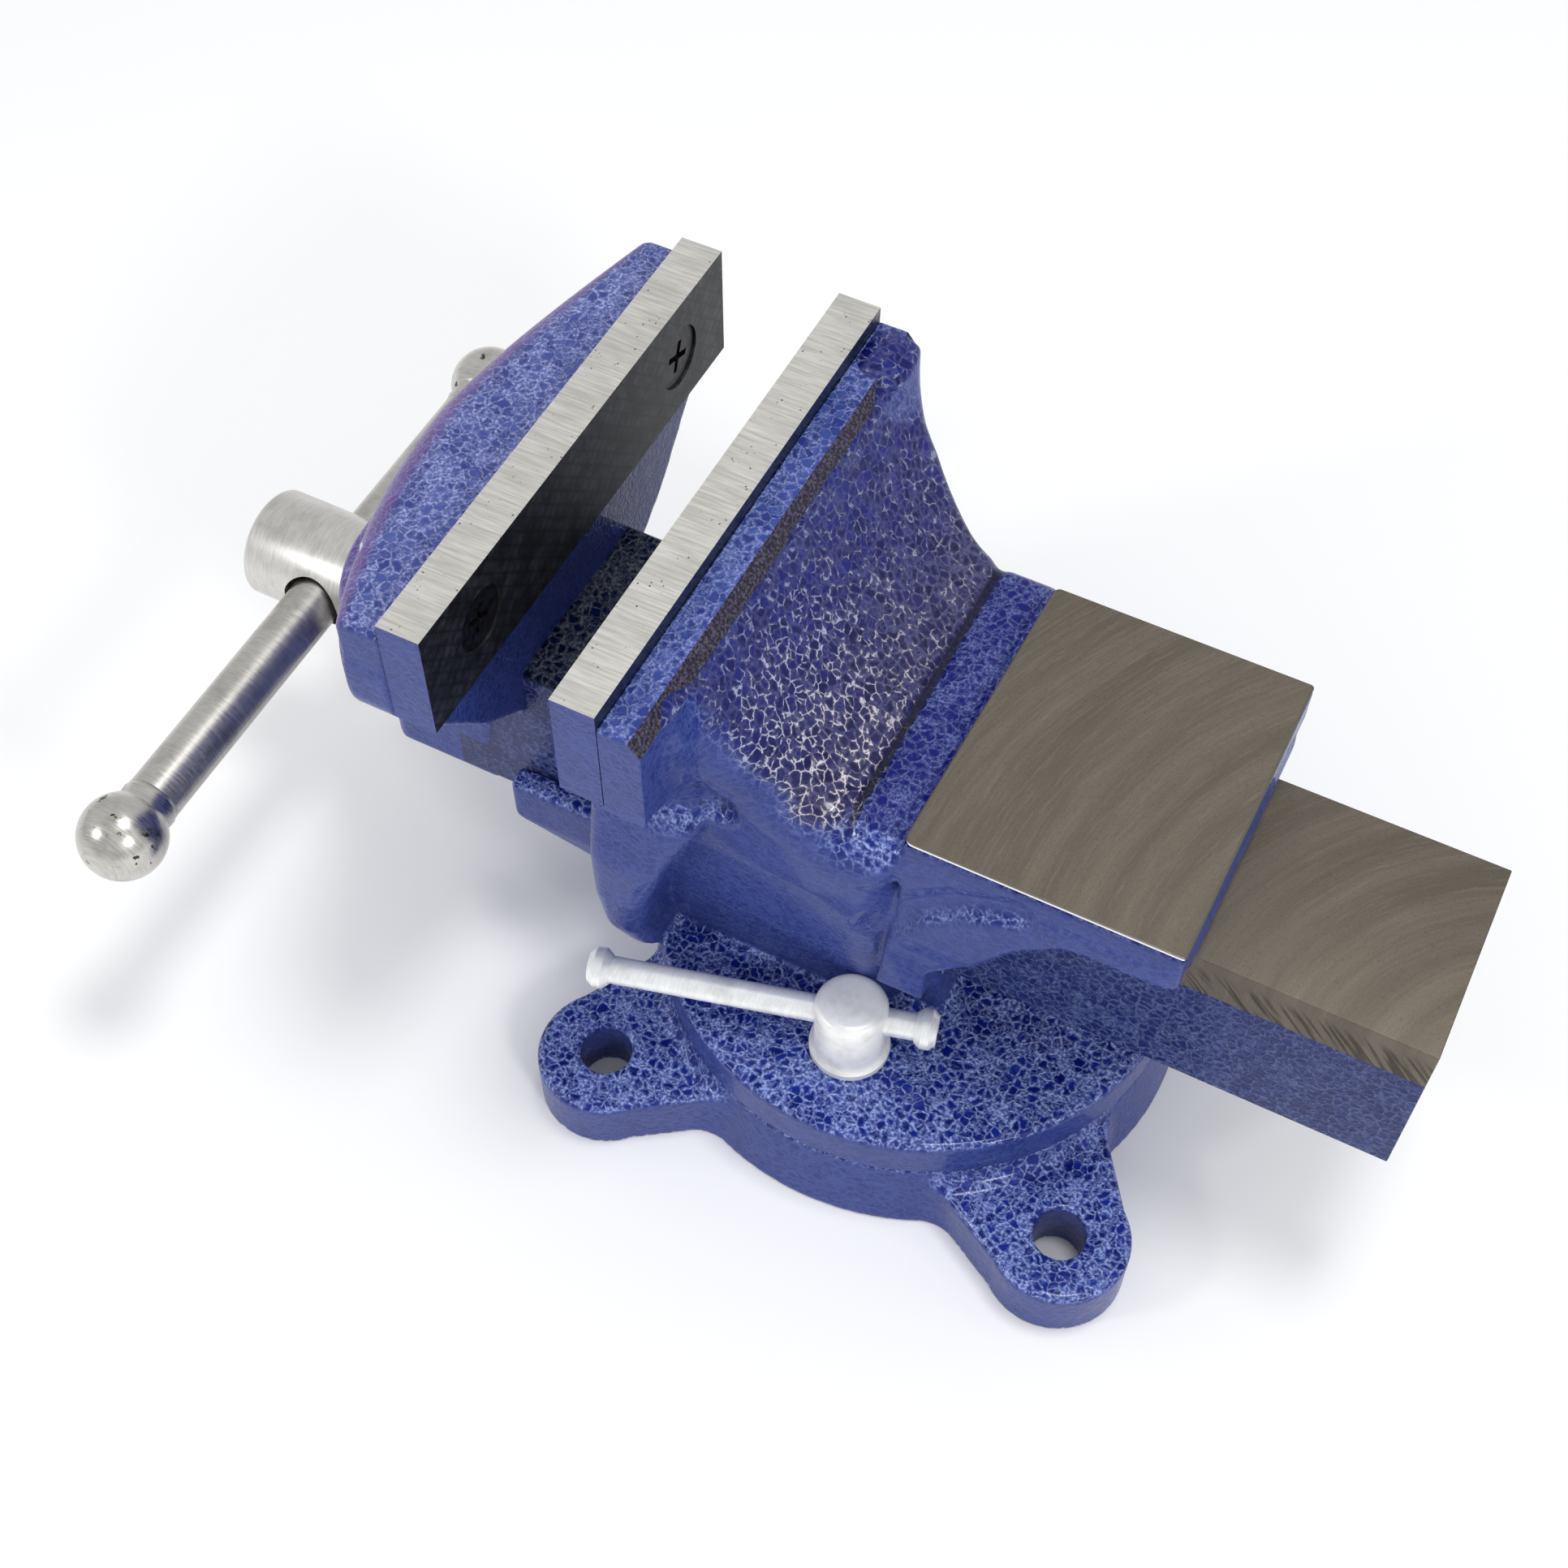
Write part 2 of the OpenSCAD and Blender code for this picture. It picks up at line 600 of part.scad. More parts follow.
ring_t = 2;
collar_l = 9;
spring_x = bay_front + 0.2 + ring_t;
spring_end = pin_x - collar_l / 2;
module thrust_washer() { color("silver") ring(head_face, washer_t - 0.1, head_d + 3); }
module spring_washer() { color("silver") ring(bay_front + 0.1, ring_t, screw_d + 8); }
module spring_collar() {
    color("gray") difference() {
        ring(spring_end, collar_l, screw_d + 9);
        translate([pin_x, 0, screw_z]) cylinder(d = pin_d, h = 2 * screw_d, center = true);
    }
}
module collar_pin() {
    color("silver") translate([pin_x, 0, screw_z]) cylinder(d = pin_d, h = screw_d + 7, center = true);
}

// Compression spring round the screw, as one swept tube with closed ends
coil_turns = 4;
coil_steps = 16;
wire_d = 2.4;
wire_sides = 8;
module screw_spring() {
    r = screw_d / 2 + wire_d / 2 + 0.6;
    l = spring_end - spring_x - wire_d - 0.1;
    rings = coil_turns * coil_steps;
    points = [for (i = [0:rings]) let (a = 360 * i / coil_steps) for (k = [0:wire_sides - 1])
        let (b = 360 * k / wire_sides, q = r + wire_d / 2 * cos(b))
        [l * i / rings + wire_d / 2 * sin(b), q * cos(a), q * sin(a)]];
    sides = [for (i = [0:rings - 1]) for (k = [0:wire_sides - 1])
        let (n = (k + 1) % wire_sides, o = i * wire_sides)
        [o + k, o + n, o + n + wire_sides, o + k + wire_sides]];
    caps = [[for (k = [wire_sides - 1:-1:0]) k], [for (k = [0:wire_sides - 1]) rings * wire_sides + k]];
    color("gray") translate([spring_x + wire_d / 2 + 0.05, 0, screw_z])
        polyhedron(points, concat(sides, caps));
}

// Handle: a bar that slides through the screw's head, with a ball on each end
near_ball_y = -handle_l / 2 - handle_shift;
far_ball_y = handle_l / 2 - handle_shift;
module handle_bar() {
    color("gainsboro") translate([bar_x, near_ball_y - 2, screw_z]) rotate([-90, 0, 0])
        cylinder(d = bar_d, h = handle_l + 4);
}

module handle_ball(y, way) {
    color("gainsboro") translate([bar_x, y, screw_z]) rotate([way * 90, 0, 0]) difference() {
        union() {
            sphere(d = ball_d);
            translate([0, 0, ball_d / 4])
                cylinder(d1 = ball_d - 3, d2 = bar_d + 1, h = ball_d / 4 + 2);
        }
        translate([0, 0, -2]) cylinder(d = bar_d, h = ball_d);
    }
}
module handle_ball_near() { handle_ball(near_ball_y, -1); }
module handle_ball_far() { handle_ball(far_ball_y, 1); }

swivel_base();
fixed_body();
fixed_jaw_plate();
fixed_jaw_screws();
screw_nut();
nut_washer();
nut_bolt();
clamp_bolt_near();
clamp_bolt_far();
clamp_washer_near();
clamp_washer_far();
clamp_nut_near();
clamp_nut_far();
tommy_bar_near();
tommy_bar_far();
tommy_knob_near();
tommy_knob_far();
moving_jaw();
moving_jaw_plate();
moving_jaw_screws();
main_screw();
thrust_washer();
spring_washer();
screw_spring();
spring_collar();
collar_pin();
handle_bar();
handle_ball_near();
handle_ball_far();
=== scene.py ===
import math

import bmesh
import bpy
import numpy as np
from mathutils import Matrix, Vector


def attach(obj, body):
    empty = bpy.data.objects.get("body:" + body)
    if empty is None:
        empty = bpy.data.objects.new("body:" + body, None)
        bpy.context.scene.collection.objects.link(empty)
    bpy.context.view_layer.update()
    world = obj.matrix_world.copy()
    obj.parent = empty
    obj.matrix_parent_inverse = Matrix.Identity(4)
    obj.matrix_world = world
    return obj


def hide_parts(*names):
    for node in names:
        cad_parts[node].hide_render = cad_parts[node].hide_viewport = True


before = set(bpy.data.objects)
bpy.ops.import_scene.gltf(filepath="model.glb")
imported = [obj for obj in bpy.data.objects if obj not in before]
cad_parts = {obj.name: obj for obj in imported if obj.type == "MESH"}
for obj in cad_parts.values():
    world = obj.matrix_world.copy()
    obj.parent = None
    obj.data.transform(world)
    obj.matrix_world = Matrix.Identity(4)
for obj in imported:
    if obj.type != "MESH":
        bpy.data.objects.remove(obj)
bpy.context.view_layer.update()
MM = 0.001
STEP = 0.9

# ---------------------------------------------------------------- solids as distance fields, in mm


def arc(p, q, sag, n=14):
    """Points from p to q on the circle that stands off their chord by sag, to the left of the way."""
    p, q = np.array(p, float), np.array(q, float)
    half = (q - p) / 2
    length = np.hypot(*half)
    r = (length ** 2 + sag ** 2) / (2 * sag)
    side = np.array([-half[1], half[0]]) / length
    m = p + half + side * (sag - r)
    a, b = (math.atan2(*(e - m)[::-1]) for e in (p, q))
    turn = (b - a + 3 * math.pi) % (2 * math.pi) - math.pi
    return [tuple(m + abs(r) * np.array([math.cos(a + turn * i / n), math.sin(a + turn * i / n)]))
            for i in range(n + 1)]


def outline(points):
    """A closed outline from corners (u, v) or (u, v, radius); a corner with a radius is rounded."""
    out, n = [], len(points)
    for i, c in enumerate(points):
        p = np.array(c[:2], float)
        r = c[2] if len(c) > 2 else 0
        if not r:
            out.append(tuple(p))
            continue
        a, b = np.array(points[i - 1][:2], float) - p, np.array(points[(i + 1) % n][:2], float) - p
        la, lb = np.hypot(*a), np.hypot(*b)
        a, b = a / la, b / lb
        half = math.acos(max(-1, min(1, float(a @ b)))) / 2
        if half > 1.55:
            out.append(tuple(p))
            continue
        t = min(r / math.tan(half), 0.48 * la, 0.48 * lb)
        r = t * math.tan(half)
        m = p + (a + b) / np.hypot(*(a + b)) * r / math.sin(half)
        s, e = math.atan2(*(p + a * t - m)[::-1]), math.atan2(*(p + b * t - m)[::-1])
        turn = (e - s + 3 * math.pi) % (2 * math.pi) - math.pi
        out += [tuple(m + r * np.array([math.cos(s + turn * k / 5), math.sin(s + turn * k / 5)]))
                for k in range(6)]
    return out


def flat(u, v, pts):
    """Signed distance from (u, v) to an outline, negative inside."""
    u, v = np.broadcast_arrays(u, v)
    near = np.full(u.shape, 1e9)
    sign = np.ones(u.shape)
    for (ax, ay), (bx, by) in zip(pts, pts[-1:] + pts[:-1]):
        ex, ey, wx, wy = bx - ax, by - ay, u - ax, v - ay
        t = np.clip((wx * ex + wy * ey) / (ex * ex + ey * ey + 1e-12), 0, 1)
        near = np.minimum(near, (wx - ex * t) ** 2 + (wy - ey * t) ** 2)
        c = np.stack([v >= ay, v < by, ex * wy > ey * wx])
        sign = np.where(c.all(0) | (~c).all(0), -sign, sign)
    return sign * np.sqrt(near)


def both(a, b, r=0.0):
    """Where a and b overlap, with their edge rounded to r; r may change from place to place."""
    if np.ndim(r) == 0 and r == 0:
        return np.maximum(a, b)
    return np.minimum(-r, np.maximum(a, b)) + np.hypot(np.maximum(a + r, 0), np.maximum(b + r, 0))


def join(a, b, r=0.0):
    """a and b together, with a fillet of r where they meet; r may change from place to place."""
    return np.maximum(r, np.minimum(a, b)) - np.hypot(np.maximum(r - a, 0), np.maximum(r - b, 0))


def cut(a, b, r=0.0):
    """a without b, with their edge rounded to r."""
    return both(a, -b, r)


def span(t, lo, hi):
    """Distance outside lo to hi, negative between them."""
    return np.abs(t - (lo + hi) / 2) - (hi - lo) / 2


EDGES = [(a, b) for a in range(8) for b in range(a + 1, 8) if bin(a ^ b).count("1") == 1]


def surface_net(field, lo, hi):
    """Vertices and faces of the surface where field is 0, one vertex in each cell that it cuts."""
    lo = np.array(lo, float)
    n = [int(math.ceil((h - l) / STEP)) + 1 for l, h in zip(lo, hi)]
    gx, gy, gz = (lo[k] + STEP * np.arange(n[k]) for k in range(3))
    values = field(gx[:, None, None], gy[None, :, None], gz[None, None, :])
    f = np.broadcast_to(values, n).astype(np.float32)
    inside = f < 0
    corners = [((c >> 2) & 1, (c >> 1) & 1, c & 1) for c in range(8)]
    cells = [inside[a:n[0] - 1 + a, b:n[1] - 1 + b, c:n[2] - 1 + c] for a, b, c in corners]
    count = sum(c.astype(np.int8) for c in cells)
    ijk = np.argwhere((count > 0) & (count < 8))
    number = np.full(count.shape, -1, np.int32)
    number[tuple(ijk.T)] = np.arange(len(ijk))
    value = [f[ijk[:, 0] + a, ijk[:, 1] + b, ijk[:, 2] + c] for a, b, c in corners]
    total, hits = np.zeros((len(ijk), 3)), np.zeros(len(ijk))
    for a, b in EDGES:
        va, vb = value[a], value[b]
        cross = (va < 0) != (vb < 0)
        t = np.where(cross, va / np.where(cross, va - vb, 1), 0)[:, None]
        p = np.array(corners[a]) * (1 - t) + np.array(corners[b]) * t
        total += np.where(cross[:, None], p, 0)
        hits += cross
    quads = []
    for axis in range(3):
        first = [slice(1, -1)] * 3
        second = [slice(1, -1)] * 3
        first[axis], second[axis] = slice(0, -1), slice(1, None)
        a, b = inside[tuple(first)], inside[tuple(second)]
        at = np.argwhere(a != b)
        p, q = [k for k in range(3) if k != axis]
        ring = []
        for dp, dq in ((0, 0), (1, 0), (1, 1), (0, 1)):
            c = at.copy()
            c[:, p] += dp
            c[:, q] += dq
            ring.append(number[tuple(c.T)])
        ring = np.stack(ring, 1)
        outward = a[tuple(at.T)] if axis != 1 else ~a[tuple(at.T)]
        quads.append(np.where(outward[:, None], ring, ring[:, ::-1]))
    return lo + STEP * (ijk + total / hits[:, None]), np.concatenate(quads)


def drawn_on(field, v):
    """Vertices v moved along the field's slope onto its surface, in two short steps."""
    e = 0.05
    for _ in range(2):
        here = field(v[:, 0], v[:, 1], v[:, 2])
        shifts = np.eye(3) * e
        there = [field(v[:, 0] + dx, v[:, 1] + dy, v[:, 2] + dz) for dx, dy, dz in shifts]
        slope = (np.stack(there, 1) - here[:, None]) / e
        move = -slope * (here / np.maximum((slope ** 2).sum(1), 0.25))[:, None]
        size = np.linalg.norm(move, axis=1, keepdims=True)
        v = v + move * np.minimum(1, 0.6 * STEP / np.maximum(size, 1e-9))
    return v


def skin(name, field, lo, hi):
    """An object with the surface where field is 0, between the corners lo and hi of a box."""
    verts, quads = surface_net(field, lo, hi)
    return mesh_object(name, drawn_on(field, verts), quads.tolist())


def mesh_object(name, verts, faces):
    """A smooth-shaded object from vertices in mm."""
    mesh = bpy.data.meshes.new(name)
    mesh.from_pydata((np.asarray(verts, float) * MM).tolist(), [], faces)
    mesh.validate()
    mesh.update()
    obj = bpy.data.objects.new(name, mesh)
    bpy.context.scene.collection.objects.link(obj)
    mesh.shade_smooth()
    return obj


# ---------------------------------------------------------------- solids as bevelled meshes, in mm


def bevelled(obj, width, segments, angle=30):
    """Gives the edges sharper than the angle a bevel of a width in mm."""
    m = obj.modifiers.new("edges", "BEVEL")
    m.width = width * MM
    m.segments = segments
    m.limit_method = "ANGLE"
    m.angle_limit = math.radians(angle)
    m.harden_normals = True
    return obj


def prism(name, pts, lo, hi, axis):
    """An outline drawn out from lo to hi along an axis. Its u and v are the other two axes, in order."""
    others = [k for k in range(3) if k != axis]
    verts = []
    for h in (lo, hi):
        for p in pts:
            v = [0, 0, 0]
            v[axis], v[others[0]], v[others[1]] = h, p[0], p[1]
            verts.append(v)
    n = len(pts)
    faces = [list(range(n)), list(range(2 * n - 1, n - 1, -1))]
    faces += [[i, n + i, n + (i + 1) % n, (i + 1) % n] for i in range(n)]
    obj = mesh_object(name, verts, faces)
    tidy(obj)
    return obj


def tidy(obj):
    """Merges doubled points and turns all faces outwards."""
    b = bmesh.new()
    b.from_mesh(obj.data)
    bmesh.ops.remove_doubles(b, verts=b.verts, dist=1e-7)
    bmesh.ops.recalc_face_normals(b, faces=b.faces)
    b.to_mesh(obj.data)
    b.free()
    obj.data.shade_smooth()


def turned(name, profile, place, sides=96):
    """A profile of (distance along the axis, radius), turned about it; place takes Z to that axis."""
    verts, faces = [], []
    for h, r in profile:
        for k in range(sides):
            a = 2 * math.pi * k / sides
            verts.append(place @ Vector((r * math.cos(a), r * math.sin(a), h)))
    rows = len(profile)
    for i in range(rows - 1):
        for k in range(sides):
            j = (k + 1) % sides
            faces.append([i * sides + k, i * sides + j, (i + 1) * sides + j, (i + 1) * sides + k])
    if profile[0][1] > 1e-6:
        faces.append(list(range(sides - 1, -1, -1)))
    if profile[-1][1] > 1e-6:
        faces.append([(rows - 1) * sides + k for k in range(sides)])
    obj = mesh_object(name, verts, faces)
    tidy(obj)
    return obj


def drilled(obj, cutters):
    """Takes cutters away from obj, for good."""
    for c in cutters:
        m = obj.modifiers.new("hole", "BOOLEAN")
        m.operation = "DIFFERENCE"
        m.solver = "EXACT"
        m.object = c
    deps = bpy.context.evaluated_depsgraph_get()
    mesh = bpy.data.meshes.new_from_object(obj.evaluated_get(deps))
    obj.modifiers.clear()
    obj.data = mesh
    for c in cutters:
        bpy.data.objects.remove(c)
    return obj


def sharp(obj, angle=32):
    """Shades obj smooth, but for edges sharper than the angle."""
    obj.data.shade_smooth()
    obj.data.set_sharp_from_angle(angle=math.radians(angle))
    return obj


def facing(axis, at, turn=0):
    """The place whose local Z lies along an axis, at a point in mm."""
    spin = {"x": Matrix.Rotation(math.pi / 2, 4, "Y"), "y": Matrix.Rotation(-math.pi / 2, 4, "X"),
            "z": Matrix.Identity(4)}[axis]
    return Matrix.Translation(at) @ Matrix.Rotation(turn, 4, "Z") @ spin


# ---------------------------------------------------------------- sizes in mm

JAW = 62.5          # half the jaws' width
TOP = 156.0         # top of the plates
LEDGE = 152.0       # top of the castings beside them
PLATE_Z = 127.0     # foot of the plates
PLATE_SEAT_Z = PLATE_Z - 0.3        # the castings' step under the plates
FIXED, MOVING = -57.0, -86.0        # faces of the plates
SEAT, HEAD = -47.0, -37.5           # front and rear of the casting behind the fixed plate
SLIDE_LO, SLIDE_HI, SLIDE_W, SLIDE_END = 53.0, 101.0, 25.0, 120.0
BAND = 89.0         # the slide's sides are milled above this height
CHANNEL_W, CHANNEL_Z = 16.0, 92.0   # half width and top of the hollow in the slide
ANVIL_Z, ANVIL_A, ANVIL_B, ANVIL_W = 119.0, 7.5, 68.5, 38.0
SCREW_Z, SCREW_R, BOSS_R = 74.0, 10.0, 20.0
DISC_A, DISC_B, DISC_R = 20.2, 32.2, 63.5
SPIGOT_R = 20.0
CLAMP = 41.0        # distance from the swivel axis to the clamp bolts
NUT_X, NUT_HALF, NUT_SEAT = -5.0, 20.0, 42.7
BAR_X = -160.0
NEAR_BALL, FAR_BALL = -89.0, 70.0
TURN = math.radians(3)              # turn of the base under the body

# ---------------------------------------------------------------- the fixed casting

ramp = arc((-37.2, 148.8), (-4, 115.2), -3.6)
under_ramp = outline([(-90, 20), (-90, 148.8), (-45, 148.8)] + ramp[:-1]
                     + [(-5, 114.6, 0.6), (-3, 115.4, 1), (40, 115.4), (40, 20)])
FLARE_LOW = [(42, 104, 16), (40.5, 90, 20), (36.5, 64, 20), (31, 44, 10), (27.5, 32), (26, 20)]
near_flare = outline([(-30, 20), (-30, 158), (56, 158), (54, 140, 12), (48.5, 129, 12), (43.5, 117, 10)]
                     + FLARE_LOW)
far_flare = outline([(-30, 20), (-30, 158), (61.5, 158), (60.5, 150), (56.5, 139, 8), (52.5, 130.5, 6),
                     (43, 117.5, 8)] + FLARE_LOW)
trunk_side = outline([(FIXED, 20), (FIXED, PLATE_SEAT_Z, 0.4), (-44, PLATE_SEAT_Z), (-44, 160), (60, 160),
                      (9, 112), (6, 100), (5.5, 20)])
head_side = outline([(FIXED, 104), (FIXED, LEDGE - 0.4), (HEAD - 3.2, LEDGE - 0.4), (HEAD - 0.4, 148.4),
                     (HEAD - 0.4, 123, 3), (-42, 108, 4)])
head_front = outline([(-30, 100), (-30, LEDGE + 9), (JAW - 0.5, LEDGE + 9), (JAW - 0.5, 125.6, 1),
                      (55, 122, 4), (43, 106, 6), (41, 100)])
anvil_side = outline([(ANVIL_A, 118.0, 0.3), (ANVIL_B, 118.0, 0.3), (ANVIL_B, 106, 2.5), (45, 105.6, 9),
                      (34.5, 96.5, 16), (25.5, 83, 12), (15.4, 72, 6), (15, 60), (4, 60), (ANVIL_A, 100)])
rib_side = outline([(66, 112), (66, 106, 2), (45, 105.6, 7), (34.5, 96.5, 16), (25.5, 83, 12),
                    (15.4, 72, 4), (15, 25), (6, 25), (6, 84, 4), (13, 94, 10), (24, 103, 8), (40, 111)])
groove_side = outline([(3.6, 82), (10.4, 94.6), (20.6, 104), (33, 110), (20, 104.6), (9.8, 95.2)])
GROOVE_W, GROOVE_R = 41.0, 5.0
collar_front = outline([(-30, 30), (-30, 113), (39, 113, 8), (47.5, 101, 14), (50.5, 82, 24), (50, 66, 24),
                        (47, 50, 20), (38, 30)])
collar_side = outline([(-62, 30), (-62, 104, 10), (-50, 114, 6), (-40, 114, 5), (-35, 102, 5),
                       (-42.5, 87, 30), (-48.5, 68, 30), (-52, 46, 20), (-53, 30)])
DIMPLE_AT, DIMPLE_R = (-33, 43, 110), 5.0       # the round pit beside the neck, above the collar
trough_front = outline([(-30, 30), (-30, 64), (31, 64, 1.6), (31, 51, 4), (27, 36, 5), (24, 30)])
trough_side = outline([(-95, 50.5, 3), (-95, 66), (-50, 66), (-50, 30), (-62, 33, 8), (-72, 41, 10)])


def neck_field(x, y, z, w):
    """The neck with its hollow ramp, wider on the far side, and the head that the plate sits on."""
    flare = np.where(y < 0, flat(w, z, near_flare), flat(w, z, far_flare))
    trunk = both(flat(x, z, under_ramp), flare, np.where(y < 0, 15.0, 5.0))
    trunk = both(trunk, flat(x, z, trunk_side), 3.0 + 5.0 * np.clip((112 - z) / 12, 0, 1))
    head = both(flat(x, z, head_side), flat(w, z, head_front), 1.2)
    solid = join(trunk, head, 1.2 + 7.0 * np.clip((w - 40) / 10, 0, 1))
    plate = both(x - SEAT, PLATE_SEAT_Z - z)
    return both(solid, both(FIXED - x, -plate))


def anvil_field(x, z, w):
    """The anvil under its pad, and the shelf below it."""
    anvil = both(flat(x, z, anvil_side), w - ANVIL_W, 0.8)
    shelf = both(span(x, 2, ANVIL_B), both(w - 31, z - 110, 1), 3)
    shelf = both(shelf, 101.2 - z, 0.5)
    return join(anvil, shelf, 2)


def sides_field(solid, x, z, w):
    """solid with the rib from anvil to disc, the groove along it, and the collar with its dimple."""
    rib = both(flat(x, z, rib_side), w - (ANVIL_W + 0.3) + np.clip(84 - z, 0, 70) * 0.3, 1.2)
    solid = join(solid, rib, 1.2)
    groove = np.hypot(np.maximum(flat(x, z, groove_side), 0), w - GROOVE_W) - GROOVE_R
    solid = cut(solid, groove, 1.2)
    collar = both(flat(w, z, collar_front), flat(x, z, collar_side), 4)
    solid = join(solid, collar, 1.2)
    at_x, at_w, at_z = DIMPLE_AT
    dimple = np.sqrt((x - at_x) ** 2 + (w - at_w) ** 2 + ((z - at_z) * 0.8) ** 2) - DIMPLE_R
    return cut(solid, dimple, 1.5)


def body_field(x, y, z):
    """The whole fixed casting, from the spigot up to the seats of the plate and of the anvil's pad."""
    w = np.abs(y)
    r = np.hypot(x, y)
    solid = join(neck_field(x, y, z, w), anvil_field(x, z, w), 2.2)
    solid = sides_field(solid, x, z, w)
    trough = both(flat(x, z, trough_side), flat(w, z, trough_front), 2)
    solid = join(solid, trough, 2.5)
    disc = both(r - DISC_R, span(z, DISC_A, DISC_B), 0.5)
    disc = both(disc, both(r - DISC_R, z - DISC_B, 1.6))
    solid = join(solid, disc, 3)
    solid = join(solid, both(r - SPIGOT_R, span(z, 5, 24), 0.4))
    way = both(w - (SLIDE_W + 0.3), span(z, SLIDE_LO - 0.3, SLIDE_HI + 0.6), 0.6)
    solid = cut(solid, way, 0.5)
    nut_off = np.hypot(x - NUT_X, y)
    nut_pocket = both(span(x, NUT_X - NUT_HALF, NUT_X + NUT_HALF), both(w - 14, span(z, NUT_SEAT, 60)))
    clamp_hole = both(np.hypot(x, w - CLAMP) - 6.5, span(z, 10, 40))
    for hole in (nut_pocket, both(nut_off - 5.5, span(z, 10, 60)),
                 both(nut_off - 10.5, span(z, 0, DISC_A)), clamp_hole):
        solid = cut(solid, hole)
    return solid


body = skin("fixed_casting", body_field, (-98, -65, 3), (71, 65, 155))
block_side = outline([(SEAT, 125.2), (SEAT, LEDGE), (HEAD - 2.6, LEDGE, 0.5), (HEAD, 148.7, 0.5),
                      (HEAD, 125.2, 1)])
block = bevelled(prism("head_block", block_side, -JAW, JAW, 1), 0.35, 2)
pad = prism("anvil_pad", outline([(ANVIL_A, -ANVIL_W, 2.4), (ANVIL_B, -ANVIL_W, 1), (ANVIL_B, ANVIL_W, 1),
                                  (ANVIL_A + 1.5, ANVIL_W, 1.5)]), 117.9, ANVIL_Z, 2)
bevelled(pad, 0.55, 1).modifiers["edges"].material = 1

# ---------------------------------------------------------------- the moving casting

jaw_back = outline([(-180, 60), (-180, 300), (-96, 300), (-96, PLATE_SEAT_Z, 0.3), (-91, PLATE_SEAT_Z, 0.6),
                    (-91, 90), (-96, 60)])
jaw_profile = outline([(-147, 30), (-147, 95, 3), (-138, 97, 10), (-126, 116, 14), (-123.5, 128),
                       (-123.5, 300), (0, 300), (0, 30)])
jaw_front = outline([(-30, 40), (-30, 300), (JAW, 300), (JAW, 126.5, 7), (40, 100, 12), (25, 88, 10),
                     (22, 40)])
jaw_plan = outline([(-147.5, -19.5), (-139, -20.5, 14), (-106, -JAW, 1), (-60, -JAW), (-60, JAW),
                    (-106, JAW, 1), (-139, 20.5, 14), (-147.5, 19.5)])

# A hollow ground into the near side of the bulge, and a flaw in the casting below it: place and half sizes
GRIND_AT, GRIND = (-116.9, -43.7, 147.0), (3.8, 3.8, 6.5)
FLAW_AT, FLAW = (-114.6, -50.2, 145.5), (2.0, 2.8, 3.4)


def head_field(y, x, z, w):
    """The jaw's head, which bulges forwards at its middle and rounds over at its top."""
    along = np.clip(w / JAW, 0, 1.1)
    bulge = -(x + 123.4 - 17 * along ** np.where(y < 0, 2.0, 1.6)) / (1 + 0.11 * along)
    head = both(bulge, z - LEDGE, 3.0 + 9.5 * (1 - np.minimum(along, 1) ** 2))
    head = both(head, w - JAW, 1.2)
    return both(head, 124 - z, 6)


def jaw_field(x, y, z):
    """The moving casting in front of the slide: head, chin, boss and the slide's root."""
    w = np.abs(y)
    head = head_field(y, x, z, w)
    chin = both(flat(x, z, jaw_profile), flat(w, z, jaw_front), 7)
    chin = both(chin, flat(x, y, jaw_plan), 6)
    chin = both(chin, z - 138, 2)
    under = both(span(x, -110, -88), both(w - 31, span(z, 97, 130), 2), 1.5)
    solid = join(join(head, chin, 5), under, 1.5)
    solid = both(solid, flat(x, z, jaw_back), 0.3)
    off = np.hypot(y, z - SCREW_Z)
    boss = both(off - BOSS_R, span(x, -147, -100), 1.4)
    solid = join(solid, boss, 5)
    root = both(span(x, -132, -100), both(w - (SLIDE_W - 0.1), span(z, SLIDE_LO, SLIDE_HI), 1), 4)
    solid = join(solid, root, 2)
    solid = both(solid, SLIDE_LO - z, 0.5)
    hollow = both(span(x, -125, 0), both(w - CHANNEL_W, z - CHANNEL_Z))
    solid = cut(solid, hollow, 0.5)
    for at, half in ((GRIND_AT, GRIND), (FLAW_AT, FLAW)):
        dent = np.sqrt(sum(((p - c) / h) ** 2 for p, c, h in zip((x, y, z), at, half)))
        solid = cut(solid, (dent - 1) * min(half), 0.3)
    return cut(solid, off - (SCREW_R + 0.05))


jaw = skin("moving_casting", jaw_field, (-149, -65, 50), (-88, 65, 155))


def slide_cut(r):
    """The slide's cross-section, with its top edges rounded to r."""
    side = [(CHANNEL_W, SLIDE_LO, 0.8), (SLIDE_W, SLIDE_LO, 2), (SLIDE_W, BAND), (SLIDE_W, SLIDE_HI, r)]
    other = [(-c[0],) + c[1:] for c in reversed(side)]
    return outline(other + [(-CHANNEL_W, CHANNEL_Z, 3), (CHANNEL_W, CHANNEL_Z, 3)] + side)


slide_root = prism("slide_root", slide_cut(2.6), -112, -52, 0)
slide = bevelled(prism("slide", slide_cut(0.3), -52, SLIDE_END, 0), 0.35, 2, 40)

# ---------------------------------------------------------------- the base

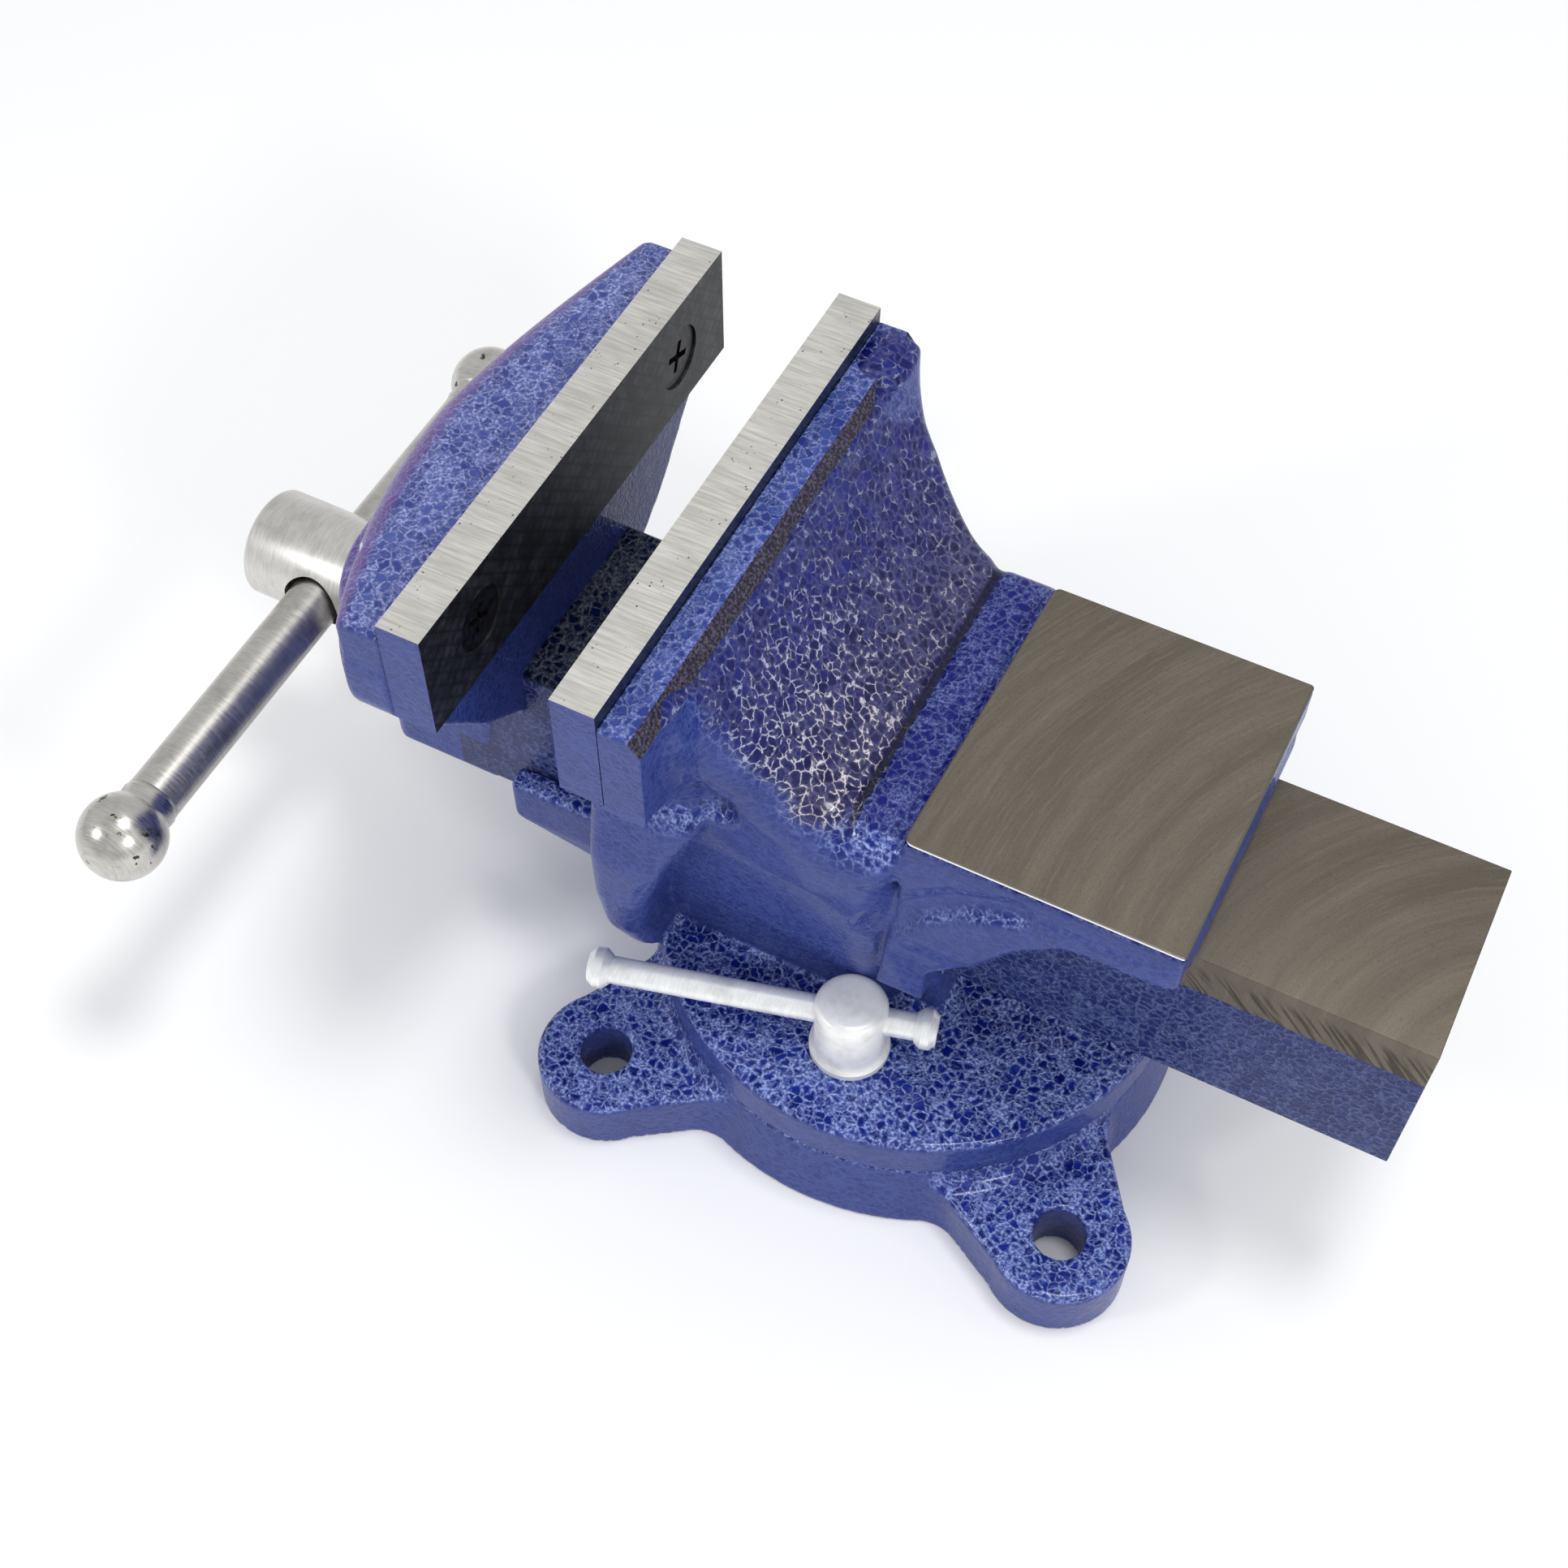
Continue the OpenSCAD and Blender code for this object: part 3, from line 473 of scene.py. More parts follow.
BASE_H = 20.0
LUG_AT, LUG_R, LUG_H = 82.0, 16.6, 16.0
LUG_TURNS = [math.pi / 4 + k * math.pi / 2 + TURN for k in range(4)]
BENCH_HOLE_R, MOUTH_R = 6.25, 11.5
TEE_Z, TEE_TOP = 5.0, 13.5
ring_cut = outline([(0, 0), (66.8, 0, 0.8), (63.3, BASE_H - 0.6), (62.9, BASE_H, 0.3), (0, BASE_H)])
tee_slot = outline([(29.5, TEE_Z), (52.5, TEE_Z), (52.5, TEE_TOP), (48, TEE_TOP), (48, 22), (34, 22),
                    (34, TEE_TOP), (29.5, TEE_TOP)])


def lug_field(x, y, z, turn):
    """A lug with a round end, which widens towards the ring."""
    u, v = x * math.cos(turn) + y * math.sin(turn), -x * math.sin(turn) + y * math.cos(turn)
    end = np.hypot(u - LUG_AT, v) - LUG_R
    web = both(span(u, 40, LUG_AT), np.abs(v) - LUG_R - np.clip(LUG_AT - u, 0, 30) * 0.24)
    return both(join(end, web), span(z, -2, LUG_H), 1.5)


def base_field(x, y, z):
    """The base ring with its four lugs, bolt holes and T-slot."""
    r = np.hypot(x, y)
    solid = flat(r, z, ring_cut)
    for turn in LUG_TURNS:
        solid = join(solid, lug_field(x, y, z, turn), 4)
    solid = both(solid, -z, 0.4)
    for turn in LUG_TURNS:
        hole = np.hypot(x - LUG_AT * math.cos(turn), y - LUG_AT * math.sin(turn)) - BENCH_HOLE_R
        solid = cut(solid, hole, 0.5)
    solid = cut(solid, flat(r, z, tee_slot))
    # Round mouth where the clamp bolts' heads go in
    mouth = np.hypot(x - CLAMP * math.cos(TURN), y - CLAMP * math.sin(TURN)) - MOUTH_R
    solid = cut(solid, both(mouth, TEE_Z - z))
    return cut(solid, r - (SPIGOT_R + 0.05), 0.4)


base = skin("base_casting", base_field, (-79, -79, -2), (79, 79, 23))

# ---------------------------------------------------------------- turned pieces


def ball(name, y, turn):
    """A handle ball with the short neck that takes the bar."""
    r = 10.25
    pts = [(-r * math.cos(math.pi * i / 26), r * math.sin(math.pi * i / 26)) for i in range(21)]
    pts += [(10.0, 6.9), (10.7, 6.6), (11.6, 6.55)]
    return turned(name, pts, facing("y", (BAR_X, y, SCREW_Z)) @ Matrix.Rotation(turn, 4, "X"))


near_ball = ball("near_ball", NEAR_BALL, 0)
far_ball = ball("far_ball", FAR_BALL, math.pi)

SCREW_FRONT, SCREW_LENGTH, SCREW_HEAD = -180.5, 294.0, 32.0
head_profile = [(0, 0), (0, 11.6), (0.25, 12.2), (1.0, 13.1), (1.8, 13.5), (SCREW_HEAD - 0.3, 13.5),
                (SCREW_HEAD, 13.2), (SCREW_HEAD, SCREW_R)]
shaft_profile = [(52, SCREW_R), (52.2, SCREW_R), (SCREW_LENGTH - 4, SCREW_R), (SCREW_LENGTH - 2, 8.2),
                 (SCREW_LENGTH - 2, 0)]
screw_body = turned("screw_body", head_profile + shaft_profile, facing("x", (SCREW_FRONT, 0, SCREW_Z)))
drilled(screw_body, [turned("cross_hole", [(-40, 7.7), (40, 7.7)], facing("y", (BAR_X, 0, SCREW_Z))),
                     turned("pin_hole", [(-40, 2), (40, 2)], facing("z", (-101, 0, SCREW_Z)))])
sharp(screw_body, 28)


def clamp_nut(name, side):
    """A round nut on its bolt, with a cross hole for the tommy bar."""
    at = (0, side * CLAMP, 34.0)
    bar_at = (0, side * CLAMP, 46.35)
    bore_r, bar_hole_r = 6.05, 3.35
    pts = [(0.01, 0), (0, bore_r), (0, 8.1), (0.5, 8.5), (16.2, 8.5), (17.3, 7.9), (17.8, 7.2), (17.95, 6.0),
           (18, 0)]
    obj = turned(name, pts, facing("z", at))
    drilled(obj, [turned("bore", [(-3, bore_r), (8.6, bore_r)], facing("z", at)),
                  turned("cross", [(-20, bar_hole_r), (20, bar_hole_r)],
                         facing("x", bar_at, -side * math.radians(15)))])
    return sharp(obj, 30)


near_nut, far_nut = clamp_nut("nut_near", -1), clamp_nut("nut_far", 1)

# ---------------------------------------------------------------- what stands for what

for obj, body_name, nodes in (
        (body, "body", ["fixed_body"]), (pad, "body", []), (block, "body", []),
        (jaw, "jaw", ["moving_jaw"]), (slide, "jaw", []), (slide_root, "jaw", []),
        (base, "base", ["swivel_base"]), (near_ball, "handle", ["handle_ball_near"]),
        (far_ball, "handle", ["handle_ball_far"]), (screw_body, "screw", ["main_screw"]),
        (near_nut, "nut_near", ["clamp_nut_near"]), (far_nut, "nut_far", ["clamp_nut_far"])):
    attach(obj, body_name)
    if nodes:
        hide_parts(*nodes)

# ---------------------------------------------------------------- materials


class Paint:
    """A material's node tree, built up node by node."""

    def __init__(self, name):
        self.mat = bpy.data.materials.new(name)
        self.mat.use_nodes = True
        self.tree = self.mat.node_tree
        self.shader = self.tree.nodes["Principled BSDF"]
        self.place = self.add("ShaderNodeTexCoord").outputs["Object"]
        self.normal = self.add("ShaderNodeNewGeometry").outputs["Normal"]

    def add(self, kind, **values):
        node = self.tree.nodes.new(kind)
        for k, v in values.items():
            setattr(node, k, v)
        return node

    def put(self, socket, value):
        if hasattr(value, "node"):
            self.tree.links.new(value, socket)
        elif value is not None:
            socket.default_value = value

    def set(self, name, value):
        self.put(self.shader.inputs[name], value)

    def math(self, op, a, b=None, c=None, clamp=False):
        n = self.add("ShaderNodeMath", operation=op, use_clamp=clamp)
        for s, v in zip(n.inputs, (a, b, c)):
            self.put(s, v)
        return n.outputs[0]

    def vec(self, op, *values):
        """A vector operation; DISTANCE and LENGTH give a number, and the others a vector."""
        n = self.add("ShaderNodeVectorMath", operation=op)
        for s, v in zip(n.inputs, values):
            self.put(s, v)
        return n.outputs[1] if op in ("DISTANCE", "LENGTH") else n.outputs[0]

    def noise(self, scale, where=None, detail=3.0, rough=0.5, colour=False):
        """Noise with scale features to the metre, from 0 to 1."""
        n = self.add("ShaderNodeTexNoise")
        self.put(n.inputs["Vector"], where or self.place)
        for k, v in (("Scale", scale), ("Detail", detail), ("Roughness", rough)):
            n.inputs[k].default_value = v
        return n.outputs["Color" if colour else "Fac"]

    def cells(self, scale, where=None, feature="F1"):
        """The outputs of a pattern of cells, scale of them to the metre."""
        n = self.add("ShaderNodeTexVoronoi", feature=feature)
        self.put(n.inputs["Vector"], where or self.place)
        n.inputs["Scale"].default_value = scale
        return n.outputs

    def remap(self, value, a, b, c=0.0, d=1.0):
        """value, eased from c at a to d at b."""
        n = self.add("ShaderNodeMapRange", interpolation_type="SMOOTHSTEP")
        for s, v in zip(n.inputs, (value, a, b, c, d)):
            self.put(s, v)
        return n.outputs[0]

    def mix(self, fac, a, b, blend="MIX"):
        n = self.add("ShaderNodeMix", data_type="RGBA", blend_type=blend)
        self.put(n.inputs[0], fac)
        self.put(n.inputs[6], a)
        self.put(n.inputs[7], b)
        return n.outputs[2]

    def stretch(self, factors, where=None, turn=(0, 0, 0)):
        n = self.add("ShaderNodeMapping")
        self.put(n.inputs["Vector"], where or self.place)
        n.inputs["Scale"].default_value = factors
        n.inputs["Rotation"].default_value = turn
        return n.outputs[0]

    def times(self, *factors):
        """All the factors multiplied together."""
        out = factors[0]
        for f in factors[1:]:
            out = self.math("MULTIPLY", out, f)
        return out

    def less(self, a, b):
        """a minus b."""
        return self.math("SUBTRACT", a, b)

    def part(self, vector):
        n = self.add("ShaderNodeSeparateXYZ")
        self.put(n.inputs[0], vector)
        return n.outputs

    def bump(self, height, strength, distance, under=None):
        n = self.add("ShaderNodeBump")
        n.inputs["Strength"].default_value = strength
        n.inputs["Distance"].default_value = distance
        self.put(n.inputs["Height"], height)
        self.put(n.inputs["Normal"], under)
        return n.outputs[0]


def rgb(r, g, b):
    """A colour given as it is seen, 0 to 255."""
    return tuple(((c / 255) ** 2.2) for c in (r, g, b)) + (1.0,)


# Enamel colours: two of the cells, then two of the lines between them
TONES = rgb(8, 24, 102), rgb(22, 42, 134), rgb(92, 112, 188), rgb(160, 176, 230)
HEAD_TONES = rgb(30, 44, 118), rgb(58, 76, 150), rgb(96, 110, 178), rgb(134, 146, 204)
JAW_TONES = rgb(44, 56, 122), rgb(70, 84, 150), rgb(98, 108, 172), rgb(156, 164, 214)
CELLS = 440         # cells to the metre


class Enamel(Paint):
    """Hammertone enamel: deep blue cells between pale, flaky lines, calm where a face stands upright."""

    def __init__(self, name, low=0.15, high=0.75, tones=TONES):
        super().__init__(name)
        self.up = self.math("ABSOLUTE", self.part(self.normal)[2])
        self.level = self.remap(self.up, low, high)
        wobble = self.vec("MULTIPLY_ADD", self.noise(500, detail=2, colour=True), (0.0018,) * 3, self.place)
        self.web = self.cells(CELLS, wobble, "DISTANCE_TO_EDGE")["Distance"]
        self.tone = self.part(self.cells(CELLS, wobble)["Color"])[0]
        self.patch = self.noise(120, detail=3, rough=0.6)
        self.speck = self.noise(1500, detail=2, rough=0.6)
        width = self.remap(self.patch, 0.3, 0.7, 0.12, 0.38)
        line = self.less(1.0, self.remap(self.web, 0.0, width))
        line = self.times(line, self.remap(self.speck, 0.25, 0.6, 0.35, 1.0))
        small = self.cells(900, wobble, "DISTANCE_TO_EDGE")["Distance"]
        fine = self.less(1.0, self.remap(small, 0.0, 0.24))
        fine = self.times(fine, self.remap(self.noise(260, detail=2), 0.45, 0.65, 0.0, 0.7))
        self.line = self.math("MAXIMUM", line, fine)
        self.deep = self.mix(self.tone, tones[0], tones[1])
        self.pale = self.mix(self.remap(self.speck, 0.3, 0.7), tones[2], tones[3])
        self.height = self.times(self.line, self.remap(self.level, 0, 1, 0.3, 1.0))

    def colour(self):
        """Lively on level faces, and a brushed blue on upright ones."""
        lively = self.mix(self.line, self.deep, self.pale)
        streaks = self.noise(900, self.stretch((0.5, 0.5, 1.6)), detail=3, rough=0.65)
        calm = self.mix(self.remap(streaks, 0.35, 0.68), rgb(38, 52, 116), rgb(54, 69, 134))
        calm = self.mix(self.times(self.line, 0.3), calm, rgb(90, 104, 176))
        return self.mix(self.level, calm, lively)

    def finish(self, colour, coat=0.3):
        """The material with this colour, under a clear coat of this strength."""
        self.set("Base Color", colour)
        self.set("Metallic", 0.0)
        self.set("Specular IOR Level", 0.14)
        self.set("Roughness", self.remap(self.line, 0, 1, 0.3, 0.45))
        self.set("Coat Weight", coat)
        self.set("Coat Roughness", 0.08)
        roll = self.bump(self.noise(160, detail=2, rough=0.5), 0.5, 0.0008)
        self.set("Normal", self.bump(self.height, 0.8, 0.0006, roll))
        return self.mat


def plain_enamel(name):
    """Enamel with nothing added."""
    p = Enamel(name)
    return p.finish(p.colour())


def slide_enamel():
    """The slide's enamel, thin and dull."""
    p = Enamel("slide_enamel", -0.4, 0.6)
    return p.finish(p.mix(1.0, p.colour(), (0.55, 0.55, 0.55, 1), "MULTIPLY"), coat=0.08)


def shaded_enamel():
    """Enamel darkened with painted shade, between the jaws and behind the plates."""
    p = Enamel("shaded_enamel")
    return p.finish(p.mix(1.0, p.colour(), (0.3, 0.27, 0.165, 1), "MULTIPLY"))


def head_enamel():
    """Enamel on the ledge beside the fixed plate, with a rough dark band on the step behind it, partly the
    step's cast colour and partly painted shade on that upright face.
    """
    p = Enamel("head_enamel", tones=HEAD_TONES)
    # The dark band on the rear-facing step: cast colour together with painted shade.
    band = p.times(p.remap(p.part(p.place)[2], 0.1483, 0.1487), p.remap(p.part(p.normal)[0], 0.25, 0.5))
    dark = p.mix(p.remap(p.speck, 0.4, 0.65), rgb(30, 26, 44), rgb(84, 78, 98))
    return p.finish(p.mix(band, p.colour(), dark))


def cast_enamel():
    """Enamel of the fixed casting, coarse on the neck's ramp with painted highlights on its cells, deep blue
    in the valley at its foot, and a dark line of painted shade along the groove between them.
    """
    p = Enamel("cast_enamel")
    x, y, z = p.part(p.place)
    level_top = p.times(p.remap(z, 0.110, 0.116), p.remap(p.up, 0.25, 0.55))
    on_ramp = p.times(level_top, p.remap(x, -0.0038, -0.0046))
    in_valley = p.times(p.remap(z, 0.113, 0.1145), p.remap(x, -0.0046, -0.0038))
    # A dark line of painted shade along the groove at the ramp's foot.
    crease_shade = p.times(level_top, p.remap(p.math("ABSOLUTE", p.math("ADD", x, 0.005)), 0.0014, 0.0004))
    uneven = p.math("MULTIPLY_ADD", p.patch, 0.5, -0.25)
    foot = p.math("ADD", p.remap(x, -0.036, -0.008), uneven, clamp=True)
    near = p.times(p.remap(y, 0.03, -0.03), p.remap(x, -0.038, -0.026))
    broken = p.less(p.noise(560, detail=1), p.times(near, 0.12))
    glint = p.times(p.less(1.0, p.remap(p.web, 0.02, 0.12)), p.remap(broken, 0.48, 0.37),
                    p.math("MULTIPLY_ADD", near, 0.55, 0.4))
    veil = p.times(p.line, p.math("MULTIPLY_ADD", foot, 0.14, 0.16))
    blue = p.mix(p.tone, rgb(2, 10, 76), rgb(14, 26, 106))
    violet = p.mix(p.tone, rgb(22, 18, 56), rgb(50, 44, 82))
    slope = p.mix(veil, p.mix(foot, blue, violet), rgb(112, 112, 152))
    slope = p.mix(glint, slope, p.mix(foot, rgb(176, 184, 222), rgb(222, 212, 220)))
    p.line = p.times(p.line, p.math("MULTIPLY_ADD", in_valley, -0.6, 1.0))
    p.deep = p.mix(in_valley, p.deep, rgb(6, 12, 106))
    p.height = p.mix(on_ramp, p.height, p.times(glint, 2.2))
    colour = p.mix(p.times(on_ramp, 0.92), p.colour(), slope)
    return p.finish(p.mix(crease_shade, colour, rgb(12, 12, 44)))


def jaw_enamel():
    """Enamel of the moving jaw, with a painted violet sheen along its front and bare metal where it was
    ground.
    """
    p = Enamel("jaw_enamel", tones=JAW_TONES)
    forward = p.part(p.normal)[0]
    # Painted violet sheen on faces turned forwards, both in the cells and over the whole colour.
    p.deep = p.mix(p.remap(forward, -0.2, -0.6), p.deep, rgb(84, 62, 130))
    sheen = p.times(p.remap(forward, -0.22, -0.55), p.math("MULTIPLY_ADD", p.level, 0.3, 0.2))
    colour = p.mix(sheen, p.colour(), rgb(104, 62, 138))
    off = p.stretch([1 / (h * MM) for h in GRIND], p.vec("SUBTRACT", p.place, [c * MM for c in GRIND_AT]))
    bare = p.times(p.remap(p.vec("LENGTH", off), 1.1, 1.04), p.remap(p.noise(300), 0.25, 0.5))
    return p.finish(p.mix(bare, colour, rgb(206, 208, 222)))


def milled():
    """Milled cast iron with the wide arcs of a face cutter, and chatter marks low on the slide's sides."""
    p = Paint("milled")
    _, y, z = p.part(p.place)
    far = p.vec("DISTANCE", p.stretch((1.0, 1.0, 0.0)), (0.15, -0.035, 0.0))
    far = p.math("MULTIPLY_ADD", p.noise(60, detail=2), 0.0012, far)
    arcs = p.add("ShaderNodeCombineXYZ")
    for s, v in zip(arcs.inputs, (far, p.times(y, 0.06), p.times(z, 0.06))):
        p.put(s, v)
    lines = p.noise(1400, arcs.outputs[0], detail=4, rough=0.7)
    broad = p.noise(190, arcs.outputs[0], detail=3, rough=0.55)
    grain = p.noise(2600, detail=2, rough=0.6)
    a = p.mix(p.remap(broad, 0.3, 0.7), rgb(100, 93, 83), rgb(113, 105, 94))
    a = p.mix(p.remap(lines, 0.45, 0.75, 0.0, 0.5), a, rgb(134, 126, 114))
    a = p.mix(p.remap(grain, 0.5, 0.75, 0.0, 0.35), a, rgb(66, 60, 54))
    side = p.remap(p.math("ABSOLUTE", p.part(p.normal)[1]), 0.5, 0.8)
    slanted = p.stretch((1.0, 1.0, 1.0), turn=(0, 0.7, 0))
    marks = p.noise(900, p.stretch((1.0, 0.1, 0.07), slanted), detail=2)
    chatter = p.times(side, p.remap(marks, 0.48, 0.62, 0.0, 0.7), p.remap(z, 0.099, 0.0945))
    p.set("Base Color", p.mix(chatter, a, rgb(46, 41, 36)))
    p.set("Metallic", 0.75)
    p.set("Roughness", p.remap(lines, 0.3, 0.7, 0.45, 0.6))
    p.set("Normal", p.bump(lines, 0.25, 0.00012))
    return p.mat


def ground():
    """Ground steel with fine grain across the plate, worn bright, and nicks scattered over it."""
    p = Paint("ground")
    grain = p.noise(1600, p.stretch((0.05, 1.0, 0.3)), detail=4, rough=0.7)
    cloud = p.noise(160, p.stretch((0.4, 1.0, 1.0)), detail=3)
    top = p.mix(p.remap(grain, 0.3, 0.7), rgb(192, 190, 184), rgb(220, 218, 212))
    top = p.mix(p.remap(cloud, 0.4, 0.7, 0.0, 0.35), top, rgb(176, 172, 164))
    rare = p.remap(p.noise(300, detail=1), 0.58, 0.66)
    nick = p.times(p.less(1.0, p.remap(p.cells(900)["Distance"], 0.1, 0.3)), rare)
    top = p.mix(nick, top, rgb(96, 92, 86))
    p.set("Base Color", top)
    p.set("Metallic", 0.85)
    p.set("Roughness", p.remap(grain, 0.3, 0.7, 0.44, 0.56))
    p.set("Normal", p.bump(grain, 0.2, 0.0001, p.bump(nick, -0.4, 0.0003)))
    return p.mat


def hatched():
    """The blackened gripping face, cut with crossed diagonal lines."""
    p = Paint("hatched")
    _, y, z = p.part(p.place)
    pitch = 0.0042
    cuts = []
    for way in (1.0, -1.0):
        t = p.times(p.math("ADD", y, p.times(z, way)), 1 / pitch)
        f = p.math("ABSOLUTE", p.less(p.math("FRACT", t), 0.5))
        cuts.append(p.remap(f, 0.3, 0.5))
    depth = p.math("MAXIMUM", *cuts)
    stain = p.noise(240, detail=4, rough=0.6)
    a = p.mix(p.remap(stain, 0.35, 0.7), rgb(30, 31, 35), rgb(62, 64, 70))
    a = p.mix(p.times(depth, 0.6), a, rgb(8, 8, 10))
    p.set("Base Color", a)
    p.set("Metallic", 0.4)
    p.set("Roughness", 0.48)
    p.set("Normal", p.bump(depth, -0.9, 0.0012))
    return p.mat


def steel(name, lo, hi, axis, rough=(0.22, 0.36), rust=False, metal=1.0):
    """Turned steel: fine rings round an axis, with faint stains and, if asked, specks of rust."""
    p = Paint(name)
    factors = [0.25, 0.25, 0.25]
    factors["xyz".index(axis)] = 3.0
    rings = p.noise(900, p.stretch(factors), detail=4, rough=0.65)
    stain = p.noise(130, detail=4, rough=0.6)
    a = p.mix(p.remap(rings, 0.3, 0.7), rgb(*lo), rgb(*hi))
    a = p.mix(p.remap(stain, 0.45, 0.8, 0.0, 0.45), a, rgb(*(int(c * 0.72) for c in lo)))
    normal = p.bump(rings, 0.12, 0.00008)
    if rust:
        spots = p.remap(p.noise(420, detail=3, rough=0.55), 0.6, 0.64)
        spots = p.times(spots, p.remap(p.noise(90, detail=2), 0.5, 0.6))
        a = p.mix(spots, a, rgb(74, 66, 58))
        normal = p.bump(spots, -0.5, 0.0002, normal)
    p.set("Normal", normal)
    p.set("Base Color", a)
    p.set("Metallic", metal)
    p.set("Roughness", p.remap(rings, 0.3, 0.7, *rough))
    return p.mat


def simple(name, dark, light, rough, metal):
    """A dull metal with a fine grain between two greys."""
    p = Paint(name)
    n = p.noise(700, detail=4, rough=0.6)
    p.set("Base Color", p.mix(p.remap(n, 0.3, 0.7), rgb(*dark), rgb(*light)))
    p.set("Metallic", metal)
    p.set("Roughness", p.remap(n, 0.3, 0.7, rough - 0.06, rough + 0.08))
    p.set("Normal", p.bump(n, 0.2, 0.0001))
    return p.mat


def edge():
    """The anvil's bare edge, with a painted highlight along the near side."""
    p = Paint("bare_edge_and_highlight")
    _, y, z = p.part(p.normal)
    # Bevel faces that look up and towards the near side get a painted highlight.
    near = p.times(p.remap(y, -0.35, -0.6), p.remap(z, 0.2, 0.5))
    n = p.noise(1500, detail=3)
    p.set("Base Color", p.mix(near, rgb(96, 90, 80), p.mix(n, rgb(232, 231, 228), rgb(252, 251, 249))))
    p.set("Metallic", 0.3)
    p.set("Roughness", p.remap(n, 0.3, 0.7, 0.3, 0.42))
    return p.mat


ENAMEL, CAST, HEADS, JAWS = plain_enamel("enamel"), cast_enamel(), head_enamel(), jaw_enamel()
SLIDING, SHADED = slide_enamel(), shaded_enamel()
MILLED, GROUND, HATCHED = milled(), ground(), hatched()
EDGE_AND_HIGHLIGHT = edge()
TURNED = steel("turned_steel", (206, 204, 199), (224, 222, 217), "x", (0.3, 0.4))
HANDLE = steel("handle_steel", (186, 183, 177), (206, 203, 197), "y", (0.28, 0.4))
BALL = steel("ball_steel", (190, 187, 180), (212, 209, 203), "y", (0.22, 0.34), rust=True)
ZINC = steel("zinc", (246, 247, 244), (254, 254, 252), "z", (0.34, 0.46), metal=0.2)
ZINC_BAR = steel("zinc_bar", (236, 239, 239), (252, 252, 250), "x", (0.28, 0.4), metal=0.35)
BLACK = simple("black_oxide", (20, 20, 22), (44, 44, 48), 0.42, 0.6)
IRON = simple("grey_iron", (62, 61, 60), (96, 94, 92), 0.5, 0.8)
SPRING = simple("spring_wire", (70, 70, 72), (110, 110, 112), 0.35, 0.9)


def coat(obj, *mats):
    """Gives obj these materials as its slots."""
    obj.data.materials.clear()
    for m in mats:
        obj.data.materials.append(m)


def by_face(obj, choose):
    """Gives each face of obj the slot that choose(centre in mm, normal) names."""
    mesh = obj.data
    for f in mesh.polygons:
        f.material_index = choose(f.center / MM, f.normal)


coat(body, CAST)
coat(block, HEADS)
coat(jaw, JAWS)
coat(base, ENAMEL)
coat(pad, MILLED, EDGE_AND_HIGHLIGHT)
coat(slide, SLIDING, MILLED)
coat(slide_root, SLIDING, SHADED)


def coat_plate(obj, face_x):
    """Ground on top, hatched in front, enamelled at the ends and darkened with painted shade behind."""
    coat(obj, GROUND, HATCHED, ENAMEL, SHADED)

    def choose(c, n):
        """The slot of the face with centre c and normal n."""
        if n[2] > 0.8 and c[2] > TOP - 1:
            return 0
        if abs(n[1]) > 0.8 and abs(c[1]) > JAW - 0.5:
            return 2
        # Faces behind the plate get the shaded enamel: painted shade in the gap at its back.
        if abs(n[0]) > 0.8 and abs(c[0] - face_x) > 5:
            return 3
        return 1
    by_face(obj, choose)


for mat, names in (
        (IRON, ["screw_nut", "spring_collar"]),
        (ZINC, ["nut_washer", "nut_bolt", "clamp_washer_near", "clamp_washer_far", "thrust_washer",
                "spring_washer", "collar_pin"]),
        (ZINC_BAR, ["tommy_bar_near", "tommy_bar_far", "tommy_knob_near", "tommy_knob_far"]),
        (BLACK, ["clamp_bolt_near", "clamp_bolt_far", "fixed_jaw_screws", "moving_jaw_screws"]),
        (SPRING, ["screw_spring"]),
        (HANDLE, ["handle_bar"])):
    for name in names:
        coat(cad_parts[name], mat)
coat_plate(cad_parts["fixed_jaw_plate"], FIXED)
coat_plate(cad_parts["moving_jaw_plate"], MOVING)
coat(near_ball, BALL)
coat(far_ball, BALL)
coat(screw_body, TURNED)
coat(near_nut, ZINC)
coat(far_nut, ZINC)


def is_milled(c, n):
    """Whether a face of the slide is its top, the upper band of a side, or its rear end."""
    top = n[2] > 0.5 and c[2] > 95
    return top or (abs(n[1]) > 0.5 and c[2] > BAND) or n[0] > 0.8


